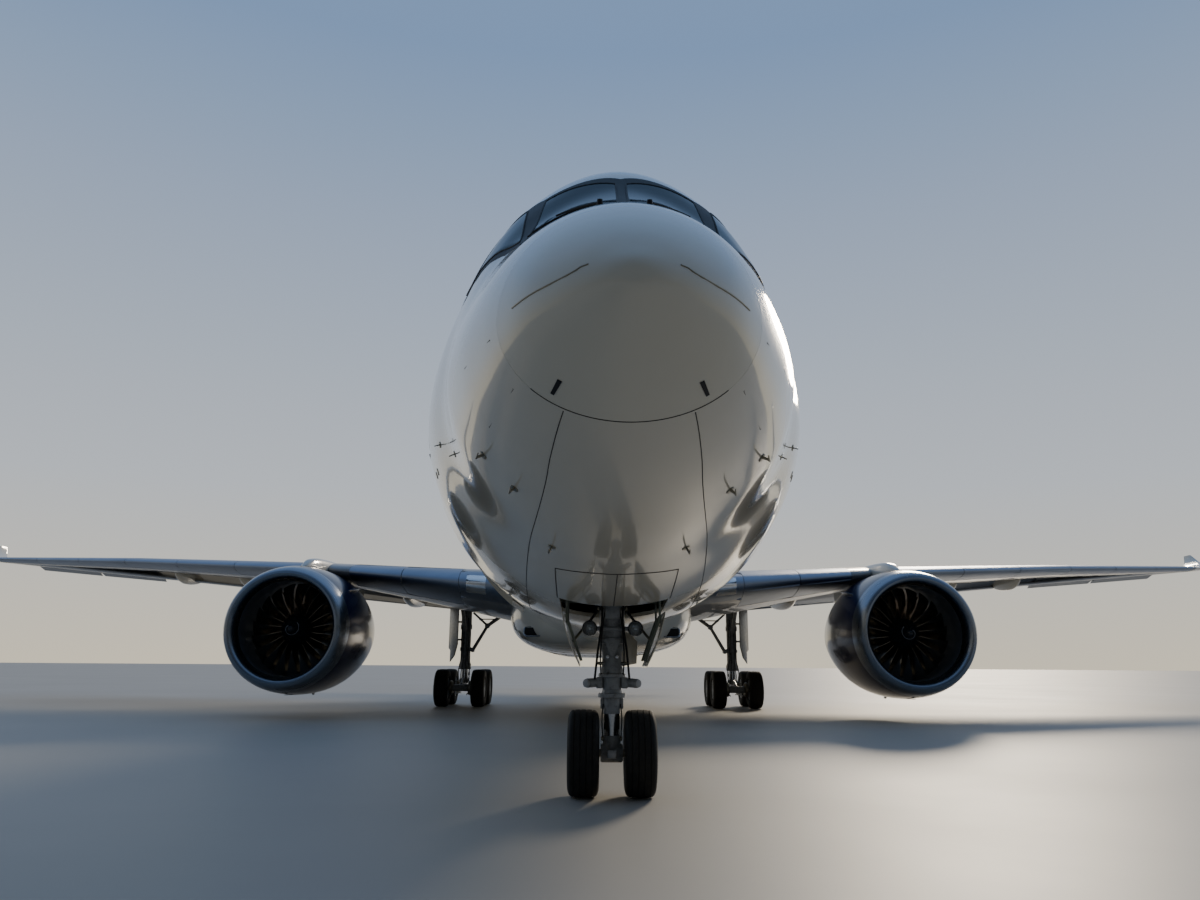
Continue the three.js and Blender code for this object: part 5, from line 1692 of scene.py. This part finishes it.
NOSE = Vector((0, 6.67, 0))
NOSE_WHEEL = 0.525
MAIN = Vector((5.34, 32.04, 0))
MAIN_WHEEL = 0.70
NOSE_PAIR = (0.395, 0.71, 0.05)      # a tyre's width, the track and the axle's radius
MAIN_PAIR = (0.53, 1.40, 0.07)
BOGIE_REACH = 0.99
piece("nose_wheel_pair", "nose_wheels", wheels(NOSE + Vector((0, 0, NOSE_WHEEL)), NOSE_WHEEL, *NOSE_PAIR),
      ["nose_wheels"], sharp=30)
for name, end in (("front", -BOGIE_REACH), ("rear", BOGIE_REACH)):
    pair(name + "_wheel_pair", name + "_main_wheels",
         lambda: wheels(MAIN + Vector((0, end, MAIN_WHEEL)), MAIN_WHEEL, *MAIN_PAIR),
         [name + "_main_wheels"], sharp=30)

# %% [markdown]
# ## Nose gear
#
# The upper leg hangs from a trunnion and is held from ahead by a drag strut. On it sit two lamps, the
# steering cylinders and a net of hoses. What turns when the aircraft is steered, the collar with its
# links, the chromed piston and the hub, is a piece of its own. A gear is drawn about the point on the
# ground under its leg, and `standing` moves it there.

# %% Nose leg
def standing(place, parts):
    """Shapes drawn about a leg's foot, moved to where it stands"""
    for mesh in (mesh for shapes in parts.values() for mesh in shapes):
        bmesh.ops.translate(mesh, vec=place, verts=mesh.verts)
    return parts


def pin(half, y, z, radius, sides=20, bevel=0.0):
    """A bar from side to side"""
    return rod((-half, y, z), (half, y, z), radius, None, sides, bevel)


def hoses(side, rows):
    """Smooth pipes on one side, from rows of a radius and the points it runs through on the left"""
    return [pipe(curved([(side * x, y, z) for x, y, z in points], 6), radius, 8) for radius, *points in rows]


def upright_turned(outline, sides=48):
    """A part of a leg, turned about the leg's own line"""
    return turned(outline, (0, 0, 0), Z, sides)


def torque_arm(side, root, tip, thick, bevel, *outline):
    """One plate of a torque link, root and tip so far to the side; its outline is in y and z"""
    return plate([(side * x, *point) for x, point in zip((root, root, tip, tip), outline)],
                 (-side * thick, 0, 0), bevel)


UPPER_LEG = [(1.30, 0), (1.30, 0.12), (1.44, 0.125), (1.45, 0.172), (1.485, 0.172), (1.50, 0.15),
             (1.60, 0.13), (1.75, 0.125), (1.86, 0.168), (1.87, 0.186), (1.93, 0.186), (1.95, 0.168),
             (2.40, 0.166), (2.42, 0.19), (2.56, 0.19), (2.60, 0.166), (3.28, 0.16), (3.30, 0)]
TRUNNION_WEB = [(0.12, 2.45), (0.52, 3.12), (0.52, 3.24), (0.10, 3.24)]
NOSE_HOSES = [
    (0.014, (0.09, -0.17, 3.0), (0.17, -0.20, 2.6), (0.13, -0.21, 2.2), (0.18, -0.17, 1.8),
     (0.22, -0.09, 1.43)),
    (0.009, (0.05, -0.19, 2.9), (0.07, -0.22, 2.4), (0.12, -0.24, 2.1), (0.15, -0.18, 1.7),
     (0.14, -0.07, 1.44)),
    (0.008, (0.29, -0.13, 2.06), (0.25, -0.04, 2.2), (0.16, -0.10, 2.4))]
LAMP_BOWL = [(0, 0.092), (0.01, 0.098), (0.03, 0.098), (0.06, 0.085), (0.15, 0.045), (0.17, 0), (0.12, 0),
             (0.10, 0.035), (0.02, 0.078), (0.008, 0.084)]
LAMP_GLASS = [(-0.012, 0), (-0.006, 0.05), (0.004, 0.084), (0.010, 0.084), (0.010, 0)]
LAMP_BULB = [(0.03, 0), (0.035, 0.018), (0.07, 0.02), (0.10, 0.012), (0.10, 0)]


def nose_leg():
    painted = [upright_turned(UPPER_LEG, 48),
               pin(0.60, 0, 3.18, 0.09, 32, 0.012),
               plate([(-0.11, -0.18, 1.92), (0.11, -0.18, 1.92), (0.02, -0.16, 1.70), (-0.02, -0.16, 1.70)],
                     (0, 0.02, 0), 0.005),
               block((-0.095, -0.29, 2.17), (0.095, -0.05, 2.35), 0.02),
               block((-0.045, -0.22, 2.62), (0.045, -0.14, 2.95), 0.01),
               pin(0.27, -0.17, 2.05, 0.028, 16)]
    caps, lines, shine, lenses, small = [], [], [], [], bolts((0, 0, 1.484), Z, 0.158, 0.012)
    for s in (-1, 1):
        front = (s * 0.29, -0.30, 2.05)
        painted += [
            plate([(s * x, -0.03, z) for x, z in TRUNNION_WEB], (0, 0.06, 0), 0.01),
            block((s * 0.16 - 0.04, -0.09, 1.31), (s * 0.16 + 0.04, 0.09, 1.45), 0.012),
            rod((s * 0.13, 0.06, 1.385), (s * 0.318, -0.145, 1.375), 0.058, sides=28, bevel=0.008)]
        caps.append(rod((s * 0.315, -0.142, 1.375), (s * 0.335, -0.165, 1.373), 0.052, None, 28, 0.008))
        lenses.append(turned(LAMP_GLASS, front, Y, 40))
        shine += [turned(LAMP_BOWL, front, Y, 40), turned(LAMP_BULB, front, Y, 16),
                  rod((s * 0.06, -0.13, 1.70), (s * 0.06, -0.17, 1.70), 0.022, sides=16, bevel=0.004)]
        lines += hoses(s, NOSE_HOSES)
        small += [rod((s * 0.12, -0.15, z), (s * 0.18, -0.19, z), 0.02, sides=12) for z in (1.62, 2.3, 2.7)]
    return {gear_enamel: painted, swirl_paint: caps, chrome: shine, lamp_glass: lenses, black_rubber: lines,
            steel: small}


# %% Steered leg and drag strut
COLLAR = [(1.0, 0), (1.0, 0.108), (1.19, 0.11), (1.20, 0.175), (1.245, 0.175), (1.25, 0.13), (1.2985, 0.12),
          (1.2985, 0)]
BOOT = [(0.525, 0), (0.525, 0.105), (0.66, 0.112), (0.70, 0.118), (0.72, 0.108), (0.74, 0.104), (0.74, 0)]
NOSE_PISTON = [(0.64, 0), (0.64, 0.10), (1.01, 0.10), (1.01, 0)]
HUB = [(-0.14, 0.056), (-0.14, 0.10), (-0.12, 0.114), (0.12, 0.114), (0.14, 0.10), (0.14, 0.056)]


def lower_leg():
    painted = [upright_turned(COLLAR, 56), upright_turned(BOOT, 40),
               turned(HUB, (0, 0, NOSE_WHEEL), X, 40, closed=True),
               pin(0.07, 0.42, 0.86, 0.052, 24, 0.008), pin(0.07, -0.205, 0.53, 0.022, 16),
               pin(0.06, 0.13, 1.15, 0.03, 16), pin(0.06, 0.13, 0.575, 0.03, 16)]
    small, lines = bolts((0, 0, 1.244), Z, 0.155, 0.012, 10), []
    for s in (-1, 1):
        painted += [
            torque_arm(s, 0.085, 0.05, 0.03, 0.008, (0.08, 1.18), (0.08, 1.09), (0.41, 0.83), (0.45, 0.88)),
            torque_arm(s, 0.075, 0.045, 0.028, 0.008, (0.09, 0.62), (0.09, 0.53), (0.45, 0.84),
                       (0.41, 0.90)),
            block((s * 0.125 - 0.02, -0.04, 1.06), (s * 0.125 + 0.02, 0.04, 1.19), 0.008)]
        small.append(rod((s * 0.10, -0.03, 0.70), (s * 0.135, -0.03, 0.70), 0.025, sides=12))
        lines += hoses(s, [(0.008, (0.11, -0.06, 1.12), (0.125, -0.07, 0.95), (0.115, -0.06, 0.72))])
    return {gear_enamel: painted, chrome: [upright_turned(NOSE_PISTON)],
            rim_enamel: [block((-0.06, -0.25, 0.48), (0.06, -0.05, 0.58), 0.012)], steel: small,
            black_rubber: lines}


def nose_strut():
    """The two legs of the drag strut end on the bay's side walls"""
    legs = [rod((s * 0.05, -0.36, 2.42), (s * 0.45, -1.72, 3.25), 0.055, 0.045, 24) for s in (-1, 1)]
    return {gear_enamel: [*legs, pin(0.11, -0.36, 2.42, 0.07, 28, 0.01), pin(0.33, -1.32, 3.02, 0.04),
                          block((-0.05, -0.36, 2.36), (0.05, -0.10, 2.48), 0.012)],
            steel: bolts((0.11, -0.36, 2.42), X, 0.04, 0.01, 6)}


piece("nose_upper_leg", "airframe", standing(NOSE, nose_leg()), ["nose_leg"], sharp=35)
piece("nose_steered_leg", "nose_steering", standing(NOSE, lower_leg()), ["nose_lower_leg"], sharp=35)
piece("nose_gear_strut", "airframe", standing(NOSE, nose_strut()), ["nose_drag_strut"], sharp=35)

# %% [markdown]
# ## Bay and doors of the nose gear
#
# The rear doors hang open beside the leg, joined to it by rods, while the long front doors close again
# once the gear is down. The bay behind them is primed aluminium with ribs, pipes and wiring.

# %% Nose bay
BAY_FRONT, BAY_LOW, BAY_WALL = 4.78, 2.74, 0.03
FRAMES_ACROSS = (4.9, 5.4, 5.9, 6.4)


def nose_bay():
    half, mouth, back, top = (NOSE_BAY[name] for name in ("half", "front", "back", "top"))
    front, low, end, outer = BAY_FRONT, BAY_LOW, back + BAY_WALL, half + BAY_WALL
    walls = [block((-outer, front - BAY_WALL, low - BAY_WALL), (outer, front, top)),
             block((-outer, front, low - BAY_WALL), (outer, mouth, low)),
             block((-outer, back, 2.40), (outer, end, top)),
             block((-outer, front - BAY_WALL, top), (outer, end, top + BAY_WALL))]
    pipes = []
    for s in (-1, 1):
        walls += [block((s * half, mouth, 2.47), (s * outer, end, top)),
                  block((s * half, front, low), (s * outer, mouth, top))]
        walls += [block((s * half - 0.03, y, 2.76), (s * half + 0.03, y + 0.03, top), 0.005)
                  for y in (*FRAMES_ACROSS, 6.9)]
        pipes += hoses(s, [(0.016, (0.58, 4.7, z), (0.60, 5.6, z + 0.02), (0.58, 6.9, z))
                           for z in (3.2, 3.08, 2.96)])
    walls += [block((-half, y, top - 0.06), (half, y + 0.03, top), 0.005) for y in FRAMES_ACROSS]
    return {bay_primer: walls, black_rubber: pipes}


piece("nose_bay_liner", "airframe", nose_bay(), sharp=35)

# %% Its doors
NOSE_DOOR = {"front": 5.86, "back": 6.92, "top": (0.63, 2.24), "low": (0.40, 1.60)}


def nose_door():
    front, back, (top_x, top_z), (low_x, low_z) = NOSE_DOOR.values()

    def place(u, v, inside=0.0):
        x = top_x + (low_x - top_x) * v + 0.03 * sin(pi * v) - inside
        return Vector((x, front + u * (back - front), top_z + (low_z - top_z) * v))
    panel = walled(sheet(6, 10, place), 0.03)
    stiff = [rod(place(part, 0.06, 0.035), place(part, 0.92, 0.035), 0.014, sides=8)
             for part in (0.1, 0.5, 0.9)]
    arms = [block((top_x - 0.07, y, 2.10), (top_x - 0.045, y + 0.05, 2.50), 0.006) for y in (6.0, 6.72)]
    link = rod(place(0.62, 0.55, 0.03), NOSE + Vector((0.17, 0.02, 2.30)), 0.018, sides=12)
    return {cream_gloss: [panel], bay_primer: stiff + arms, steel: [link]}


def closed_doors():
    """Outlines of the front doors, closed flush: front edge, side edge and the seam between the two"""
    edges = [[(4.34, 160.7), (4.85, 161.5), (5.36, 162.3), (5.81, 162.8)],
             [(4.34, 160.7), (4.22, 167), (4.14, 173), (4.12, 180)]]
    return {seam_shadow: [pipe(along_hull(edge), 0.006, 6) for edge in edges]}


def small_door():
    outline = [(0.12, 1.58), (0.33, 1.62), (0.34, 1.90), (0.24, 2.02), (0.12, 2.02)]
    door = plate([(x, 0.26, z) for x, z in outline], (0, 0.02, 0), 0.006)
    return {cream_gloss: [door], gear_enamel: [rod((0.05, 0.10, 1.80), (0.16, 0.27, 1.80), 0.02, sides=12)]}


pair("nose_door_skin", "airframe", nose_door, ["nose_gear_door"], sharp=35)
pair("front_door_seams", "airframe", closed_doors)
piece("keel_seam", "airframe",
      {seam_shadow: [pipe([hull(pi, 4.12 + 0.21 * i) for i in range(9)], 0.006, 6)]})
piece("nose_leg_door", "airframe", standing(NOSE, small_door()), sharp=35)

# %% [markdown]
# ## Main gear
#
# Each main leg is a forging as thick as a tree, with torque links behind it, a side stay that folds
# inboard, and a door plate at an angle on its outboard side. A beam at its foot carries two axles, with
# a brake pack inside every wheel and rods that hold the brakes from turning.

# %% Main leg and stay
MAIN_BODY = [(1.40, 0), (1.40, 0.225), (1.44, 0.242), (1.58, 0.242), (1.65, 0.215), (1.70, 0.20),
             (2.10, 0.196), (2.12, 0.225), (2.24, 0.225), (2.27, 0.198), (2.95, 0.20), (2.97, 0.23),
             (3.12, 0.23), (3.16, 0.21), (4.0, 0.20), (4.0, 0)]
MAIN_PISTON = [(0.98, 0), (0.98, 0.15), (1.40, 0.15), (1.40, 0)]
MAIN_HOSES = [
    (0.017, (0.10, -0.21, 3.4), (0.15, -0.23, 2.6), (0.12, -0.25, 1.9), (0.22, -0.24, 1.35),
     (0.20, -0.20, 0.95)),
    (0.011, (0.05, -0.20, 3.0), (0.07, -0.25, 2.2), (0.06, -0.27, 1.6), (0.12, -0.30, 1.2),
     (0.14, -0.24, 0.92))]
SADDLE = [(0.865, 0), (0.865, 0.19), (0.90, 0.20), (1.02, 0.20), (1.06, 0.165), (1.06, 0)]
DOOR_FRONT, DOOR_BACK = Vector((0.24, -0.50, 0)), Vector((0.72, 0.42, 0))
# part of the way from the front edge to the back edge, and height
DOOR_OUTLINE = [(0, 3.84), (1, 3.84), (1, 2.22), (0.80, 2.14), (0.80, 1.68), (0.30, 1.92), (0, 2.35)]


def on_door(part, z):
    return DOOR_FRONT.lerp(DOOR_BACK, part) + Vector((0, 0, z))


def main_leg():
    painted = [upright_turned(MAIN_BODY), upright_turned(SADDLE, 40),
               plate([on_door(*point) for point in DOOR_OUTLINE], (0.034, -0.02, 0), 0.012),
               block((-0.30, -0.16, 2.10), (0.0, 0.14, 2.24), 0.02),
               pin(0.10, 0.62, 1.22, 0.06, 24, 0.01),
               rod((0, -0.05, 2.75), (0.10, -0.95, 3.95), 0.075, sides=24)]
    painted += [rod(on_door(0.05, z), on_door(0.93, z), 0.022, sides=8) for z in (2.4, 2.9, 3.5)]
    painted += [rod((0, 0, z), (0.50, 0, z), 0.036) for z in (2.55, 3.25)]
    lines = []
    for s in (-1, 1):
        painted += [
            torque_arm(s, 0.11, 0.07, 0.04, 0.012, (0.15, 1.58), (0.15, 1.46), (0.60, 1.17), (0.66, 1.24)),
            torque_arm(s, 0.10, 0.06, 0.038, 0.012, (0.12, 1.02), (0.12, 0.90), (0.66, 1.20), (0.60, 1.28))]
        lines += hoses(s, MAIN_HOSES)
    return standing(MAIN, {gear_enamel: painted, chrome: [upright_turned(MAIN_PISTON)],
                           black_rubber: lines, steel: bolts((0, 0, 1.58), Z, 0.228, 0.02, 14)})


STAY = {"low": Vector((-0.29, -0.05, 2.14)), "knee": Vector((-0.86, -0.12, 3.10)),
        "high": Vector((-1.90, -0.20, 3.84)), "lock": Vector((-0.27, -0.05, 3.62))}


def side_stay():
    low, knee, high, lock = STAY.values()
    middle = knee.lerp(lock, 0.5)
    pins = (low, 0.15, 0.08, 24, 0.012), (knee, 0.12, 0.10, 24, 0.012), (middle, 0.07, 0.055, 20, 0.008)
    bars = [rod(point - Vector((0, reach, 0)), point + Vector((0, reach, 0)), radius, None, sides, bevel)
            for point, reach, radius, sides, bevel in pins]
    bars += [rod(low, knee, 0.07, 0.06, 24), rod(knee, high, 0.07, 0.08, 24), rod(knee, lock, 0.045, 0.04)]
    return standing(MAIN, {gear_enamel: bars, steel: [rod(middle, knee.lerp(high, 0.35), 0.022, sides=12)]})


# %% Bogie
BEAM_HALF, BEAM_REACH, BEAM_Z = 0.15, 1.10, 0.705
BRAKE = [(0.30, 0.13), (0.30, 0.24), (0.33, 0.27), (0.40, 0.27), (0.42, 0.25), (0.42, 0.13)]
BOGIE_HUB = [(-0.38, 0.078), (-0.38, 0.11), (-0.34, 0.128), (0.34, 0.128), (0.38, 0.11), (0.38, 0.078)]


def bogie():
    def place(u, v):
        end = abs(2 * u - 1) ** 3
        up, across = (BEAM_HALF * bent(value, 0.5) for value in circle(v))
        return Vector((across * (1 - 0.25 * end), (2 * u - 1) * BEAM_REACH, BEAM_Z + up * (1 - 0.2 * end)))
    painted = [sealed(sheet(20, 24, place)),
               pin(0.24, 0, BEAM_Z, 0.11, 32, 0.015),
               rod((0, -0.34, 1.02), (0, -0.86, 0.84), 0.05)]
    metal, lines = [], []
    for end in (-BOGIE_REACH, BOGIE_REACH):
        painted.append(turned(BOGIE_HUB, (0, end, MAIN_WHEEL), X, 36, closed=True))
        for s in (-1, 1):
            metal.append(turned(BRAKE, (0, end, MAIN_WHEEL), (s, 0, 0), 40, closed=True))
            for turn in (2 * pi * i / 7 for i in range(7)):
                y, z = end + 0.20 * cos(turn), MAIN_WHEEL + 0.20 * sin(turn)
                metal.append(rod((s * 0.28, y, z), (s * 0.34, y, z), 0.034, sides=14))
            metal.append(rod((s * 0.24, end * 0.92, 0.46), (s * 0.20, 0, 0.52), 0.024, sides=14))
            e = copysign(1, end)
            lines += hoses(s, [(0.012, (0.13, e * 0.25, 0.88), (0.19, e * 0.6, 0.92),
                                (0.24, e * 0.95, 0.95))])
    return standing(MAIN, {gear_enamel: painted, steel: metal, black_rubber: lines})


pair("main_leg_forging", "airframe", main_leg, ["main_leg"], sharp=35)
pair("side_stay_bars", "airframe", side_stay, ["side_stay"], sharp=35)
pair("bogie_beam", "airframe", bogie, ["bogie"], sharp=35)

# %% [markdown]
# ## The studio
#
# The photograph has the sun low behind the aircraft, so its nose is in soft shade and its rims glow.
# A pale floor, a gradient sky from warm horizon to cool blue, and one big soft lamp behind the right
# wing give the same light in a studio.

# %% Floor and light
FLOOR = 400
floor_mesh = bmesh.new()
bmesh.ops.create_grid(floor_mesh, x_segments=1, y_segments=1, size=FLOOR)
floor_data = bpy.data.meshes.new("floor")
floor_mesh.to_mesh(floor_data)
floor_mesh.free()
floor = in_scene("floor", floor_data)
floor_data.materials.append(finish("pale_studio_floor", ("#B4B1AA", "#A8A59E"), 9000, (0.45, 0.6), 60, 0.2))

world = bpy.data.worlds.new("soft_sky")
bpy.context.scene.world = world
world.use_nodes = True
sky = world.node_tree
direction = add(sky, "ShaderNodeTexCoord").outputs["Generated"]
up = add(sky, "ShaderNodeSeparateXYZ", links={0: direction}).outputs["Z"]
bands = add(sky, "ShaderNodeValToRGB", links={0: up})
bands.color_ramp.elements[0].position = 0.0
bands.color_ramp.elements[0].color = linear("#E9DFC8")
bands.color_ramp.elements[1].position = 0.6
bands.color_ramp.elements[1].color = linear("#7F9CC4")
middle = bands.color_ramp.elements.new(0.18)
middle.color = linear("#C9CFD6")
behind = add(sky, "ShaderNodeVectorMath", {1: (0, 1, 0.55)}, {0: direction}, operation="DOT_PRODUCT")
glow = add(sky, "ShaderNodeMapRange", {"From Min": -0.45, "From Max": 0.75, "To Min": 0.14, "To Max": 1.0},
           {"Value": behind.outputs["Value"]})
background = sky.nodes["Background"]
sky.links.new(bands.outputs["Color"], background.inputs["Color"])
sky.links.new(glow.outputs["Result"], background.inputs["Strength"])

SUN = {"energy": 1.9, "angle": 10, "tilt": 69, "turn": 158}
sun_data = bpy.data.lights.new("low_sun", "SUN")
sun_data.energy = SUN["energy"]
sun_data.angle = radians(SUN["angle"])
sun_data.color = (1.0, 0.86, 0.66)
sun = in_scene("low_sun", sun_data)
aim = Matrix.Rotation(radians(SUN["turn"]), 4, "Z")
sun.matrix_world = aim @ Matrix.Rotation(radians(SUN["tilt"]), 4, "X")
